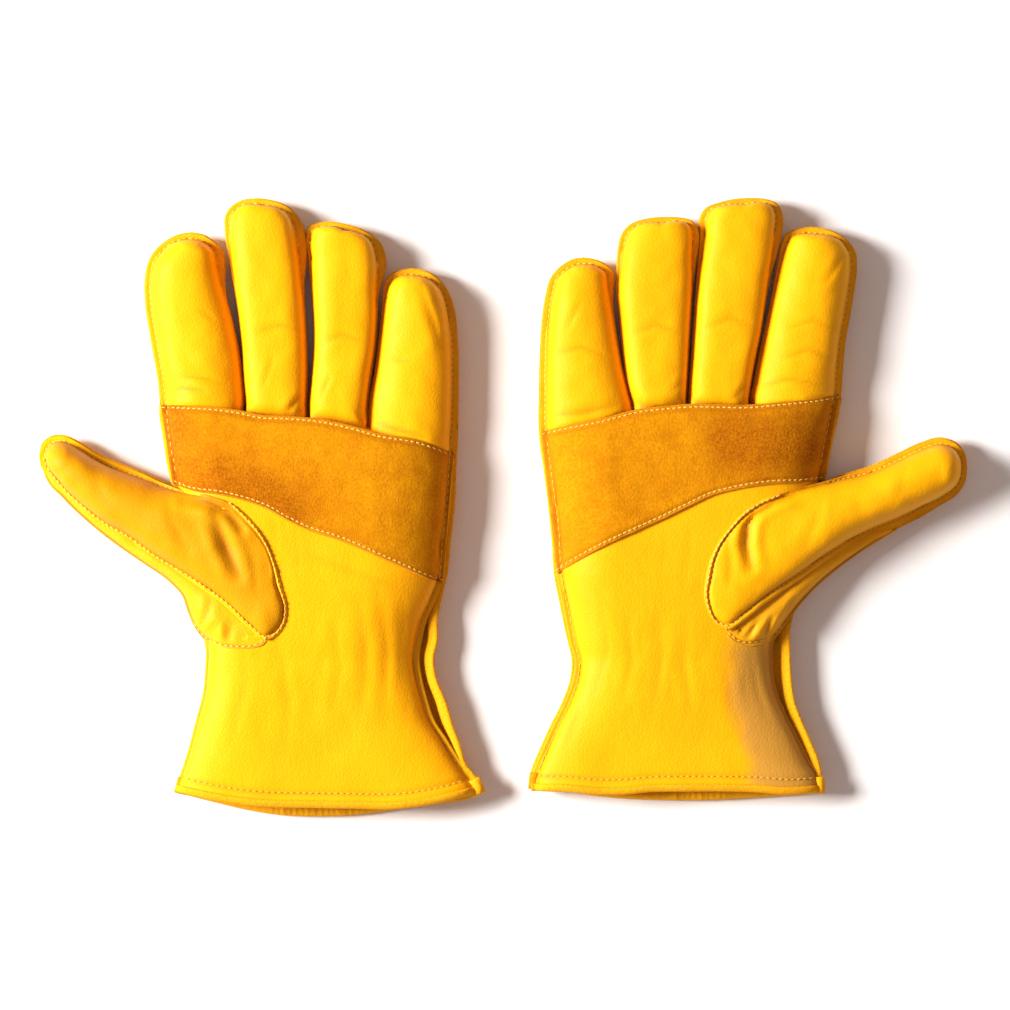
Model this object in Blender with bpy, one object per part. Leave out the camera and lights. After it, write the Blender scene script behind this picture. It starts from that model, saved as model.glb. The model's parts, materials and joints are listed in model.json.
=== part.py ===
"""A pair of leather work gloves with suede palm patches, lying palms up.

Every glove is sewn from separate pieces: a palm panel with a round hole for the thumb, a
suede patch over it, a back panel, a thumb root set into the hole, a front and a back shell
for each stall, a binding round both hems and an elastic strip at the wrist.  A stall is
divided at its crease lines, so that each length can turn about the crease.

+X runs across both gloves, +Y towards the fingertips and +Z up; z = 0 is the table.
The origin is the middle of the pair.
"""

import math
from collections import namedtuple

import bmesh
import bpy
from mathutils import Vector

MM = 0.001

# Sheet thicknesses and the gaps between sewn pieces
LEATHER = 1.3 * MM
SUEDE = 1.2 * MM
BINDING = 0.9 * MM
ELASTIC = 1.2 * MM
SEAM_GAP = 0.3 * MM
STALL_GAP = 1.4 * MM         # between two neighbouring stalls at their roots
CREASE_GAP = 0.6 * MM        # between two lengths that turn about one crease
AXIS_LIFT = 1.0 * MM         # crease axis above the palm-side surface

# Seam allowance: a flat flange round every piece, between the front and the back shell
FLANGE = 3.0 * MM
FLANGE_Z = 7.6 * MM

# Highest points of the outer surface
FINGER_TOP = 19.0 * MM
THUMB_TOP = 25.0 * MM
PALM_TOP = 24.0 * MM
WRIST_TOP = 17.0 * MM
HEM_TOP = 16.0 * MM

# How much of a section stays flat before it rounds off, as a share of its half width
STALL_FLAT = 0.15
HAND_FLAT = 0.60
BACK_FLAT = 0.72

# Hand: width and level of each named section
PALM_WIDTH = 105.0 * MM
WRIST_WIDTH = 87.0 * MM
HEM_WIDTH = 119.0 * MM
PALM_Y = -15.0 * MM
WRIST_Y = -62.0 * MM
HEM_Y = -117.0 * MM
BACK_DROP = 5.5 * MM         # the back hem shows below the front hem in the middle

# Stalls
TIP_ROUND = 15.0 * MM        # length over which a fingertip rounds off
TIP_SQUARENESS = 2.3         # exponent of the rounded end: 2 is an ellipse
KNUCKLE_SHARE = 0.42         # middle crease, as a share of the stall's length

# Thumb
THUMB_WIDTH = 31.0 * MM
THUMB_TIP_WIDTH = 25.0 * MM
THUMB_OUTSET = 12.0 * MM     # crease centre beyond the side seam
THUMB_KNUCKLE_SHARE = 0.48
ROOT_REACH = 42.0 * MM       # crease to the centre of the root's round end
ROOT_WIDTH = 53.0 * MM
ROOT_ROUND = 26.0 * MM
ROOT_SLACK = 0.5 * MM        # between the thumb root and the edge of its hole

# Palm patch
PATCH_MARGIN = 1.5 * MM      # from the finger creases
PATCH_OUTER_Y = 9.0 * MM     # lower edge at the thumb side
PATCH_DROP = 40.0 * MM       # how far that edge falls towards the little finger
PATCH_CURVE = 1.35
PATCH_SLACK = 0.7 * MM       # between the patch and the palm panel
PATCH_INSET = 0.08           # share of the hand's width left clear at each side seam

# Trim
BINDING_OUTSIDE = 8.0 * MM
BINDING_INSIDE = 5.0 * MM
BINDING_SLACK = 0.6 * MM     # between the folded strip and the leather it wraps
BINDING_INSET = 0.04         # share of the hem's width left clear at each side seam
BINDING_MARGIN = 2.0 * MM    # the back panel is raised this far beyond the binding
ELASTIC_LENGTH = 56.0 * MM
ELASTIC_WIDTH = 9.0 * MM

# The back binding passes under the back panel, which is raised by this much over it
BINDING_LIFT = BINDING + BINDING_SLACK

WELD = 1e-6

Finger = namedtuple("Finger", "name base_width tip_width length lean base_y")
Thumb = namedtuple("Thumb", "y angle length")
Glove = namedtuple("Glove", "name side knuckle_x palm_x wrist_x hem_x fingers thumb")
# A stall's frame: origin at the crease, vectors along and across it, half widths and length
Stall = namedtuple("Stall", "origin along across half_base half_tip straight rounding top")

LEFT = Glove(
    name="left", side=-1, knuckle_x=-79.2 * MM, palm_x=-76.0 * MM, wrist_x=-77.0 * MM,
    hem_x=-72.7 * MM,
    fingers=(
        Finger("index", 33.5 * MM, 31.0 * MM, 68.5 * MM, 9.0, 42.0 * MM),
        Finger("middle", 24.8 * MM, 31.0 * MM, 87.0 * MM, 3.6, 37.5 * MM),
        Finger("ring", 23.5 * MM, 30.0 * MM, 79.0 * MM, -3.4, 36.0 * MM),
        Finger("little", 34.0 * MM, 28.0 * MM, 64.5 * MM, -2.5, 31.5 * MM),
    ),
    thumb=Thumb(-7.0 * MM, 34.0, 55.0 * MM),
)
RIGHT = Glove(
    name="right", side=1, knuckle_x=76.2 * MM, palm_x=73.0 * MM, wrist_x=73.0 * MM,
    hem_x=70.8 * MM,
    fingers=(
        Finger("index", 35.6 * MM, 30.0 * MM, 70.0 * MM, 9.4, 43.0 * MM),
        Finger("middle", 24.1 * MM, 31.0 * MM, 84.5 * MM, 7.0, 40.5 * MM),
        Finger("ring", 23.1 * MM, 30.0 * MM, 77.0 * MM, 0.5, 40.0 * MM),
        Finger("little", 35.1 * MM, 27.0 * MM, 67.5 * MM, -3.0, 33.0 * MM),
    ),
    thumb=Thumb(-4.0 * MM, 27.0, 55.0 * MM),
)

GRAIN_YELLOW = (0.95, 0.60, 0.03)
THUMB_OCHRE = (0.80, 0.43, 0.03)
SUEDE_ORANGE = (0.90, 0.32, 0.04)
ELASTIC_WHITE = (0.75, 0.72, 0.62)

# Stations across a stall, from one side to the other, as shares of the half width
ACROSS = (1.0, 0.92, 0.7, 0.3)


def blend(start, end, share):
    """Straight blend between two values or vectors."""
    return start + (end - start) * share


def ease(share):
    """Smooth step from 0 to 1."""
    share = min(1.0, max(0.0, share))
    return share * share * (3.0 - 2.0 * share)


def arch(share, flat):
    """Height of a section, 1 in the flat middle and 0 at the seam."""
    slope = min(1.0, max(0.0, (abs(share) - flat) / (1.0 - flat)))
    return math.sqrt(1.0 - slope * slope)


def front_z(share, flat, top):
    """Inner surface of a front shell."""
    rim = FLANGE_Z + SEAM_GAP / 2
    return rim + (top - LEATHER - rim) * arch(share, flat)


def back_z(share, flat):
    """Outer surface of a back shell: flat on the table, rising to the seam."""
    rim = FLANGE_Z - SEAM_GAP / 2 - LEATHER
    return rim * (1.0 - arch(share, flat))


# Meshes

def material(name, colour, roughness):
    """A plain Principled material."""
    made = bpy.data.materials.new(name)
    made.use_nodes = True
    shader = made.node_tree.nodes["Principled BSDF"]
    shader.inputs["Base Color"].default_value = (*colour, 1.0)
    shader.inputs["Roughness"].default_value = roughness
    shader.inputs["Metallic"].default_value = 0.0
    return made


def sheet(name, columns, rows, place, thickness, look, origin=Vector(), upwards=True):
    """A sheet of columns x rows points given by place(column, row), thickened on one side.

    The first face decides the side: upwards is the side that it shows from above.
    """
    bm = bmesh.new()
    bmesh.ops.create_grid(bm, x_segments=columns - 1, y_segments=rows - 1, size=1.0)
    bm.verts.ensure_lookup_table()
    for vert in bm.verts:
        row, column = divmod(vert.index, columns)
        vert.co = place(column, row) - origin
    bm.faces.ensure_lookup_table()
    bm.normal_update()
    if (bm.faces[0].normal.z > 0) != upwards:
        bmesh.ops.reverse_faces(bm, faces=bm.faces)
    bmesh.ops.remove_doubles(bm, verts=bm.verts, dist=WELD)
    piece = as_object(name, bm, look, origin)
    solidify = piece.modifiers.new("thickness", "SOLIDIFY")
    solidify.thickness = thickness
    solidify.offset = 1.0
    return piece


def as_object(name, bm, look, origin=Vector()):
    """Link a finished bmesh as a smooth-shaded object."""
    mesh = bpy.data.meshes.new(name)
    bm.to_mesh(mesh)
    bm.free()
    mesh.materials.append(look)
    mesh.polygons.foreach_set("use_smooth", [True] * len(mesh.polygons))
    piece = bpy.data.objects.new(name, mesh)
    piece.location = origin
    bpy.context.collection.objects.link(piece)
    return piece


def prism_cutter(name, outline):
    """A hidden upright prism over a closed outline, used to cut a sheet."""
    bm = bmesh.new()
    bottom = bm.faces.new([bm.verts.new(Vector((x, y, -PALM_TOP))) for x, y in outline])
    made = bmesh.ops.extrude_face_region(bm, geom=[bottom])
    raised = [item for item in made["geom"] if isinstance(item, bmesh.types.BMVert)]
    bmesh.ops.translate(bm, verts=raised, vec=(0.0, 0.0, 3 * PALM_TOP))
    bmesh.ops.recalc_face_normals(bm, faces=bm.faces)
    mesh = bpy.data.meshes.new(name)
    bm.to_mesh(mesh)
    bm.free()
    cutter = bpy.data.objects.new(name, mesh)
    cutter.hide_render = True
    cutter.display_type = "WIRE"
    bpy.context.collection.objects.link(cutter)
    return cutter


# Stalls

def half_width(stall, u):
    """Outer half width of a stall at a distance u from its crease."""
    return blend(stall.half_base, stall.half_tip, ease(u / stall.straight))


def stall_point(stall, u, v, z):
    """A point of a stall: u along it, v across it."""
    flat = stall.origin + stall.along * u + stall.across * v
    return Vector((flat.x, flat.y, z))


def section_stations(half, flange=FLANGE):
    """Stations across a section: (distance across, share of the arch), rim to rim."""
    inner = half - flange
    right = [(inner * share, share) for share in ACROSS]
    if flange:
        right.insert(0, (half, 1.0))
    return [(-v, share) for v, share in right] + right[::-1]


def shell_z(share, top, front):
    """Sheet height of a stall shell."""
    if front:
        return front_z(share, STALL_FLAT, top)
    return back_z(share, STALL_FLAT)


def sleeve(name, stall, start, end, front, look):
    """The open length of a stall between two creases."""
    rows = (start, (start + end) / 2, end)
    columns = 2 * (len(ACROSS) + 1)

    def place(column, row):
        v, share = section_stations(half_width(stall, rows[row]))[column]
        return stall_point(stall, rows[row], v, shell_z(share, stall.top, front))

    return sheet(name, columns, len(rows), place, LEATHER, look, crease_origin(stall, start))


def end_stations(stall, start):
    """Stations along a closed end, up one side, round the end and down the other."""
    up = [(start, -1), ((start + stall.straight) / 2, -1)]
    angles = [math.radians(a) for a in (-90, -62, -36, -12, 12, 36, 62, 90)]
    return up + [(angle, 0) for angle in angles] + [(u, 1) for u, _ in up[::-1]]


def end_point(stall, station, inset, share):
    """Point of a closed end; inset draws the outline in, share scales it to the spine."""
    value, flank = station
    if flank:
        return value, flank * (half_width(stall, value) - inset) * share
    power = 2.0 / TIP_SQUARENESS
    reach = (stall.rounding - inset) * share * abs(math.cos(value)) ** power
    swing = (stall.half_tip - inset) * share * abs(math.sin(value)) ** power
    return stall.straight + reach, math.copysign(swing, value)


def closed_end(name, stall, start, front, look, flange=FLANGE, height=None):
    """The closed end of a stall: loops that follow the outline, drawn in to the spine."""
    stations = end_stations(stall, start)
    loops = [(flange, share) for share in (*ACROSS, 0.0)]
    if flange:
        loops.insert(0, (0.0, 1.0))

    def place(column, row):
        inset, share = loops[row]
        u, v = end_point(stall, stations[column], inset, share)
        flat = stall_point(stall, u, v, 0.0)
        if height:
            return Vector((flat.x, flat.y, height(flat, share)))
        return Vector((flat.x, flat.y, shell_z(share, stall.top, front)))

    origin = crease_origin(stall, start)
    return sheet(name, len(stations), len(loops), place, LEATHER, look, origin)


def crease_origin(stall, u):
    """Origin of a length that turns about its crease, on the crease's axis."""
    return stall_point(stall, u - CREASE_GAP / 2, 0.0, stall.top + AXIS_LIFT)


def stall_pieces(glove, name, stall, knuckle, look):
    """Four shells: the lower length and the tip, each with a front and a back."""
    gap = CREASE_GAP / 2
    prefix = f"{glove.name}_{name}"
    for front, face in ((True, "front"), (False, "back")):
        sleeve(f"{prefix}_lower_{face}", stall, gap, knuckle - gap, front, look)
        closed_end(f"{prefix}_tip_{face}", stall, knuckle + gap, front, look)


# Layout of one glove

def finger_spans(glove):
    """Across the creases from the thumb side: (finger, outer x, inner x)."""
    fingers = glove.fingers
    total = sum(f.base_width for f in fingers) + STALL_GAP * (len(fingers) - 1)
    outer = glove.knuckle_x + glove.side * total / 2
    spans = []
    for finger in fingers:
        inner = outer - glove.side * finger.base_width
        spans.append((finger, outer, inner))
        outer = inner - glove.side * STALL_GAP
    return spans


def finger_stall(glove, finger, outer, inner):
    """The frame of a finger stall, which leans but keeps its crease along X."""
    lean = glove.side * math.tan(math.radians(finger.lean))
    return Stall(
        origin=Vector(((outer + inner) / 2, finger.base_y)), along=Vector((lean, 1.0)),
        across=Vector((1.0, 0.0)), half_base=finger.base_width / 2,
        half_tip=finger.tip_width / 2, straight=finger.length - TIP_ROUND,
        rounding=TIP_ROUND, top=FINGER_TOP,
    )


def side_x(glove, thumb_side, y):
    """The side seam of the hand at level y."""
    spans = finger_spans(glove)
    sign = glove.side if thumb_side else -glove.side
    knuckle = spans[0][1] if thumb_side else spans[-1][2]
    palm = glove.palm_x + sign * PALM_WIDTH / 2
    wrist = glove.wrist_x + sign * WRIST_WIDTH / 2
    hem = glove.hem_x + sign * HEM_WIDTH / 2
    if y > PALM_Y:
        return blend(palm, knuckle, ease((y - PALM_Y) / (spans[0][0].base_y - PALM_Y)))
    if y > WRIST_Y:
        return blend(wrist, palm, ease((y - WRIST_Y) / (PALM_Y - WRIST_Y)))
    flare = (WRIST_Y - y) / (WRIST_Y - HEM_Y)
    return blend(wrist, hem, flare * flare)


def thumb_stall(glove):
    """The frame of the thumb beyond its crease."""
    thumb = glove.thumb
    angle = math.radians(thumb.angle)
    along = Vector((glove.side * math.cos(angle), math.sin(angle)))
    origin = Vector((side_x(glove, True, thumb.y) + glove.side * THUMB_OUTSET, thumb.y))
    return Stall(
        origin=origin, along=along, across=Vector((along.y, -along.x)),
        half_base=THUMB_WIDTH / 2, half_tip=THUMB_TIP_WIDTH / 2,
        straight=thumb.length - TIP_ROUND, rounding=TIP_ROUND, top=THUMB_TOP,
    )


def root_stall(glove):
    """The same thumb behind its crease: a lobe that ends round in the palm."""
    thumb = thumb_stall(glove)
    return thumb._replace(
        along=-thumb.along, half_tip=ROOT_WIDTH / 2, straight=ROOT_REACH,
        rounding=ROOT_ROUND,
    )


def root_outline(glove, margin):
    """The seam line round the thumb root, grown by a margin on every side."""
    root = root_stall(glove)
    outline = []
    for station in end_stations(root, CREASE_GAP / 2 - margin):
        u, v = end_point(root, station, -margin, 1.0)
        outline.append(stall_point(root, u, v, 0.0).xy)
    return outline


def root_reach(glove, y):
    """The outermost x of the thumb root at level y, or None clear of it."""
    outline = root_outline(glove, 0.0)
    crossings = []
    for start, end in zip(outline, outline[1:] + outline[:1]):
        if (start.y - y) * (end.y - y) < 0:
            crossings.append(blend(start.x, end.x, (y - start.y) / (end.y - start.y)))
    if not crossings:
        return None
    return max(crossings, key=lambda x: x * glove.side)


def hand_stations(glove):
    """Columns of the hand panels: (share across from the thumb side, top edge y)."""
    spans = finger_spans(glove)
    outer, width = spans[0][1], abs(spans[-1][2] - spans[0][1])
    columns = []
    for finger, start, end in spans:
        inside = [0.0, 0.33, 0.67, 1.0]
        columns += [(blend(start, end, share), finger.base_y) for share in inside]
    first, last = columns[0], columns[-1]
    inward = -glove.side
    for step in (2.2 * FLANGE, FLANGE):
        columns.insert(1, (first[0] + inward * step, first[1]))
        columns.insert(-1, (last[0] - inward * step, last[1]))
    columns.sort(key=lambda item: -item[0] * glove.side)
    return [(abs(x - outer) / width, y - CREASE_GAP / 2) for x, y in columns]


def inner_stations(glove, inset):
    """The columns of the hand that keep a share of its width clear at each side."""
    return [item for item in hand_stations(glove) if inset < item[0] < 1.0 - inset]


def hand_levels(glove):
    """Row levels of the hand panels, hem first; the last row is each column's own top."""
    thumb = thumb_stall(glove)
    corner = thumb.across * thumb.half_base
    low, high = sorted((thumb.origin.y - corner.y, thumb.origin.y + corner.y))
    raised = HEM_Y + BINDING_OUTSIDE + BINDING_MARGIN
    cuff = [HEM_Y, raised, blend(raised, WRIST_Y, 0.33), blend(raised, WRIST_Y, 0.67), WRIST_Y]
    root = [blend(WRIST_Y, low, 0.55), low - SEAM_GAP, thumb.origin.y, high]
    return cuff + root + [blend(high, glove.fingers[1].base_y, 0.5)]


def hand_share(glove, x, y):
    """Share of the arch at a point: 0 in the middle of the hand, 1 at the side seams."""
    outer, inner = side_x(glove, True, y), side_x(glove, False, y)
    return section_share(x, outer, inner)


def section_share(x, outer, inner):
    """Share of the arch at x, between two seams with their flanges."""
    half = abs(outer - inner) / 2 - FLANGE
    return min(1.0, abs(x - (outer + inner) / 2) / half)


def hand_height(glove, x, y):
    """Inner surface of the palm panel at a point."""
    share = hand_share(glove, x, y)
    if y > PALM_Y:
        knuckle_y = glove.fingers[1].base_y
        top = blend(PALM_TOP, FINGER_TOP, ease((y - PALM_Y) / (knuckle_y - PALM_Y)))
    elif y > WRIST_Y:
        top = blend(WRIST_TOP, PALM_TOP, ease((y - WRIST_Y) / (PALM_Y - WRIST_Y)))
    else:
        top = blend(WRIST_TOP, HEM_TOP, (WRIST_Y - y) / (WRIST_Y - HEM_Y))
    return front_z(share, HAND_FLAT, top)


def hand_point(glove, share, y):
    """Point of the hand at a share across from the thumb side."""
    return blend(side_x(glove, True, y), side_x(glove, False, y), share)


# Pieces of the hand

def palm_panel(glove, look):
    """Front of the hand from the finger creases to the hem, with the thumb hole cut."""
    columns = hand_stations(glove)
    levels = hand_levels(glove)

    def place(column, row):
        share, top = columns[column]
        y = levels[row] if row < len(levels) else top
        x = hand_point(glove, share, y)
        return Vector((x, y, hand_height(glove, x, y)))

    rows = len(levels) + 1
    panel = sheet(f"{glove.name}_palm_panel", len(columns), rows, place, LEATHER, look)
    hole = panel.modifiers.new("thumb_hole", "BOOLEAN")
    hole.operation = "DIFFERENCE"
    hole.object = prism_cutter(f"{glove.name}_thumb_hole", root_outline(glove, LEATHER + ROOT_SLACK))
    return panel


def back_panel(glove, look):
    """Back of the hand, out to the thumb crease and down to its own lower hem."""
    columns = hand_stations(glove)
    levels = hand_levels(glove)

    def place(column, row):
        share, top = columns[column]
        y = levels[row] if row < len(levels) else top
        outer, inner = side_x(glove, True, y), side_x(glove, False, y)
        reach = root_reach(glove, y)
        if reach is not None and (reach - outer) * glove.side > 0:
            outer = reach
        x = blend(outer, inner, share)
        across = section_share(x, outer, inner)
        z = back_z(across, BACK_FLAT)
        if row <= 1:
            y -= BACK_DROP * arch(across, 0.0)
        if row <= 1 and across < 1.0:
            z += BINDING_LIFT
        return Vector((x, y, z))

    rows = len(levels) + 1
    return sheet(f"{glove.name}_back_panel", len(columns), rows, place, LEATHER, look)


def palm_patch(glove, look):
    """Suede patch over the palm, from the finger creases to a falling lower edge."""
    columns = inner_stations(glove, PATCH_INSET)
    rows = 6

    def place(column, row):
        share, top = columns[column]
        low = PATCH_OUTER_Y - PATCH_DROP * share ** PATCH_CURVE
        y = blend(low, top - PATCH_MARGIN, row / (rows - 1))
        x = hand_point(glove, share, y)
        return Vector((x, y, hand_height(glove, x, y) + LEATHER + PATCH_SLACK))

    return sheet(f"{glove.name}_palm_patch", len(columns), rows, place, SUEDE, look)


def thumb_root(glove, look):
    """The thumb's leather behind its crease, domed over the round hole in the palm."""
    root = root_stall(glove)

    def height(flat, share):
        rim = FLANGE_Z + SEAM_GAP / 2
        inside = (side_x(glove, True, flat.y) - flat.x) * glove.side
        if inside > 0:
            rim = hand_height(glove, flat.x, flat.y)
        return blend(rim, THUMB_TOP - LEATHER, arch(share, STALL_FLAT))

    name = f"{glove.name}_thumb_root"
    return closed_end(name, root, CREASE_GAP / 2, True, look, flange=0.0, height=height)


def hem_binding(glove, front, look):
    """Folded strip over a hem: outside leg, turn and inside leg."""
    columns = inner_stations(glove, BINDING_INSET)
    turn = LEATHER / 2 + BINDING_SLACK
    legs = ((BINDING_OUTSIDE, turn), (0.0, turn), (-turn, 0.0), (0.0, -turn),
            (BINDING_INSIDE, -turn))

    def place(column, row):
        forward, offset = legs[row]
        y = HEM_Y + max(0.0, forward)
        x = hand_point(glove, columns[column][0], y)
        across = hand_share(glove, x, y)
        if front:
            middle = hand_height(glove, x, y) + LEATHER / 2
            return Vector((x, HEM_Y + forward, middle + offset))
        drop = BACK_DROP * arch(across, 0.0)
        middle = back_z(across, BACK_FLAT) + BINDING_LIFT + LEATHER / 2
        return Vector((x, HEM_Y - drop + forward, middle - offset))

    face = "front" if front else "back"
    name = f"{glove.name}_hem_binding_{face}"
    return sheet(name, len(columns), len(legs), place, BINDING, look, upwards=front)


def wrist_elastic(glove, look):
    """Flat elastic sewn inside the back at the wrist."""
    bm = bmesh.new()
    bmesh.ops.create_cube(bm, size=1.0)
    bmesh.ops.scale(bm, verts=bm.verts, vec=(ELASTIC_LENGTH, ELASTIC_WIDTH, ELASTIC))
    centre = Vector((glove.wrist_x, WRIST_Y, LEATHER + SEAM_GAP + ELASTIC / 2))
    return as_object(f"{glove.name}_wrist_elastic", bm, look, centre)


def build_glove(glove):
    """All the pieces of one glove."""
    grain = material(f"{glove.name}_grain_leather", GRAIN_YELLOW, 0.5)
    ochre = material(f"{glove.name}_thumb_leather", THUMB_OCHRE, 0.5)
    suede = material(f"{glove.name}_suede", SUEDE_ORANGE, 0.95)
    white = material(f"{glove.name}_elastic", ELASTIC_WHITE, 0.8)
    palm_panel(glove, grain)
    back_panel(glove, grain)
    palm_patch(glove, suede)
    thumb_root(glove, grain)
    hem_binding(glove, True, grain)
    hem_binding(glove, False, grain)
    wrist_elastic(glove, white)
    for finger, outer, inner in finger_spans(glove):
        stall = finger_stall(glove, finger, outer, inner)
        stall_pieces(glove, finger.name, stall, finger.length * KNUCKLE_SHARE, grain)
    thumb = thumb_stall(glove)
    knuckle = glove.thumb.length * THUMB_KNUCKLE_SHARE
    stall_pieces(glove, "thumb", thumb, knuckle, ochre)


def main():
    for item in list(bpy.data.objects):
        bpy.data.objects.remove(item)
    for glove in (LEFT, RIGHT):
        build_glove(glove)


main()
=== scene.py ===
"""A pair of leather work gloves lying palms up: panels, stitches, finishes, light and camera."""

import json
import math

import bmesh
import bpy
import numpy as np
from mathutils import Matrix, Vector, noise
from mathutils.bvhtree import BVHTree

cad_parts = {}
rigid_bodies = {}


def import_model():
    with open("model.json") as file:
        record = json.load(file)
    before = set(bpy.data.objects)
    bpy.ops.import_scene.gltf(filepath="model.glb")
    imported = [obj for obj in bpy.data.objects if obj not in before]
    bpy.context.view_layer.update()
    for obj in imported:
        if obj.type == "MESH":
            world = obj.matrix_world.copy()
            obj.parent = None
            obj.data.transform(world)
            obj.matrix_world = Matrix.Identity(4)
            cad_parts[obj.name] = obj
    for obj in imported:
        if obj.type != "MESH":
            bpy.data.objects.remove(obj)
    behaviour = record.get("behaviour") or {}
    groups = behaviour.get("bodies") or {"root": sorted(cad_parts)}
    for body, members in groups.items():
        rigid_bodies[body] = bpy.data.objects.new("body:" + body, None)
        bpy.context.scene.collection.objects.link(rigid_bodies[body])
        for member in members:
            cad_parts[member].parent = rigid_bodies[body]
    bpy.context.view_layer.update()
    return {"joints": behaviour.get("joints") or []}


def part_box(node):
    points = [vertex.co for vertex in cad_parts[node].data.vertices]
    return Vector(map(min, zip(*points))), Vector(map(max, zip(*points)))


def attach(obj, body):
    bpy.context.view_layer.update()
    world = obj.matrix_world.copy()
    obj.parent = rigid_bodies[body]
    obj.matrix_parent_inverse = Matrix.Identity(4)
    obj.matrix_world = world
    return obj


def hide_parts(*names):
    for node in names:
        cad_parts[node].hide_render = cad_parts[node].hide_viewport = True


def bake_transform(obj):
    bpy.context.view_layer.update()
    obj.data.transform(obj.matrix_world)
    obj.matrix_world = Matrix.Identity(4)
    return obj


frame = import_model()

# Sizes are in millimetres.
MM = 0.001
LEATHER = 1.2
SUEDE = 1.1
HEM_WALL = 0.8
SEAM_HEIGHT = 7.6
FRONT_EDGE = SEAM_HEIGHT + LEATHER + 0.15
BACK_EDGE = SEAM_HEIGHT - LEATHER
FINGER_TOP = 19.5
# The groove that a row of stitches draws in beside a flat seam, and how wide the back's seams are.
GROOVE_DEPTH = 0.4
GROOVE_WIDTH = 0.6
BACK_GROOVE = -0.5
BACK_SEAM = 3.0
BACK_MARGIN = 0.5
SEAM_SHARE = 0.78
CUT_WEAR = 0.9
# How much of their depth the palm's folds keep, and how wide a fold may be and still get painted shade.
PALM_FOLDS = 0.2
WIDEST_SHADED_FOLD = 3
# How far the stitches are from the leather's edge, and where the thumb's round seam lies on the palm.
HEM_STITCH = 4.3
PATCH_STITCH = 1.1
ROUND_SEAM_LIFT = 0.35
ROUND_SEAM_SHIFT = -1.1
# The folded hem's section: how far up the hand from the leather's edge, and how far outside its face.
HEM_SECTION = [(1.0, -0.1), (0.5, 0.25), (-0.2, 0.35), (-0.85, 0.0), (-1.15, -0.7), (-1.0, -1.5),
               (-0.5, -2.2), (0.3, -2.5), (1.5, -2.6), (2.6, -2.75), (3.6, -2.6), (5.0, -2.5)]

THREAD_WIDTH = 0.6
THREAD_LIFT = 0.12
STITCH_TURN = 0.10
# Pitch and length of the stitches in each kind of row.
HEM_GAUGE = (2.5, 1.9)
MOUTH_GAUGE = (2.3, 1.7)
PATCH_GAUGE = (2.2, 1.9)
SIDE_GAUGE = (3.1, 2.6)
FINGER_GAUGE = (2.4, 1.7)

# Bump depths are in metres.
GRAIN_DEPTH = 0.0006
THREAD_DEPTH = 0.0002
# A duller tan that paints the shade where the right cuff falls away from the light; it also tints the thumb
# lobes.
TAN_SHADE = (0.46, 0.23, 0.05, 1.0)

SIDES = ("left", "right")
JOINTS = {joint["name"]: joint for joint in frame["joints"]}


# ---------------------------------------------------------------- lines and heights

def smooth_line(points, count):
    """Points an even distance apart on a smooth line through the given ones."""
    knots = np.array(points, float)
    gaps = np.linalg.norm(np.diff(knots[:, :2], axis=0), axis=1)
    at = np.concatenate([[0.0], np.cumsum(gaps)])
    slopes = np.gradient(knots, at, axis=0) if len(knots) > 2 else np.diff(knots, axis=0)[[0, 0]] / gaps[0]
    fine = np.linspace(0, at[-1], 30 * len(knots))
    index = np.clip(np.searchsorted(at, fine, side="right") - 1, 0, len(knots) - 2)
    width = gaps[index][:, None]
    share = ((fine - at[index]) / gaps[index])[:, None]
    start, end = knots[index], knots[index + 1]
    line = ((2 * share**3 - 3 * share**2 + 1) * start
            + (share**3 - 2 * share**2 + share) * width * slopes[index]
            + (3 * share**2 - 2 * share**3) * end
            + (share**3 - share**2) * width * slopes[index + 1])
    steps = np.linalg.norm(np.diff(line[:, :2], axis=0), axis=1)
    run = np.concatenate([[0.0], np.cumsum(steps)])
    even = np.linspace(0, run[-1], count)
    return np.stack([np.interp(even, run, column) for column in line.T], axis=1)


def dome(share, power):
    """How high a puffed panel stands, from 0 at its edge to 1 where it is flat."""
    rest = 1 - np.clip(share, 0, 1)
    return (1 - rest**power) ** (1 / power)


def soft_step(value, low, high):
    share = np.clip((value - low) / (high - low), 0, 1)
    return share * share * (3 - 2 * share)


def swell(x, y, size, seed):
    """A soft uneven value from -1 to 1 that changes over about the given distance."""
    flat = [noise.noise(Vector((a / size, b / size, seed))) for a, b in zip(x.ravel(), y.ravel())]
    return np.array(flat).reshape(x.shape)


def distance_to(line, x, y):
    """The distance from each point to a line, and how far along it that is."""
    best = np.full(x.shape, 1e9)
    along = np.zeros(x.shape)
    count = len(line) - 1
    for index in range(count):
        ax, ay = line[index][:2]
        dx, dy = line[index + 1][0] - ax, line[index + 1][1] - ay
        share = np.clip(((x - ax) * dx + (y - ay) * dy) / (dx * dx + dy * dy), 0, 1)
        gap = np.hypot(x - ax - share * dx, y - ay - share * dy)
        nearer = gap < best
        best = np.where(nearer, gap, best)
        along = np.where(nearer, (index + share) / count, along)
    return best, along


def folded(x, y, folds):
    """How deep the folds press the leather in at each point, and how much painted shade their hollows get."""
    depth = np.zeros(x.shape)
    dark = np.zeros(x.shape)
    for width, deep, points in folds:
        gap, along = distance_to(points, x, y)
        fade = np.sin(np.pi * np.clip(0.08 + 0.84 * along, 0, 1)) ** 0.7
        depth += deep * fade * (ridge(gap, width) - 0.35 * ridge(gap - 2.2 * width, width))
        narrow = width < WIDEST_SHADED_FOLD
        # Painted shade along the hollow of each narrow fold.
        dark = np.maximum(dark, min(1.0, deep / 1.6) * narrow * fade * ridge(gap, 0.6 * width))
    return depth, dark


def ridge(gap, width):
    """1 where the gap is 0, falling away on both sides over about the given width."""
    return np.exp(-((gap / width) ** 2))


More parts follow.
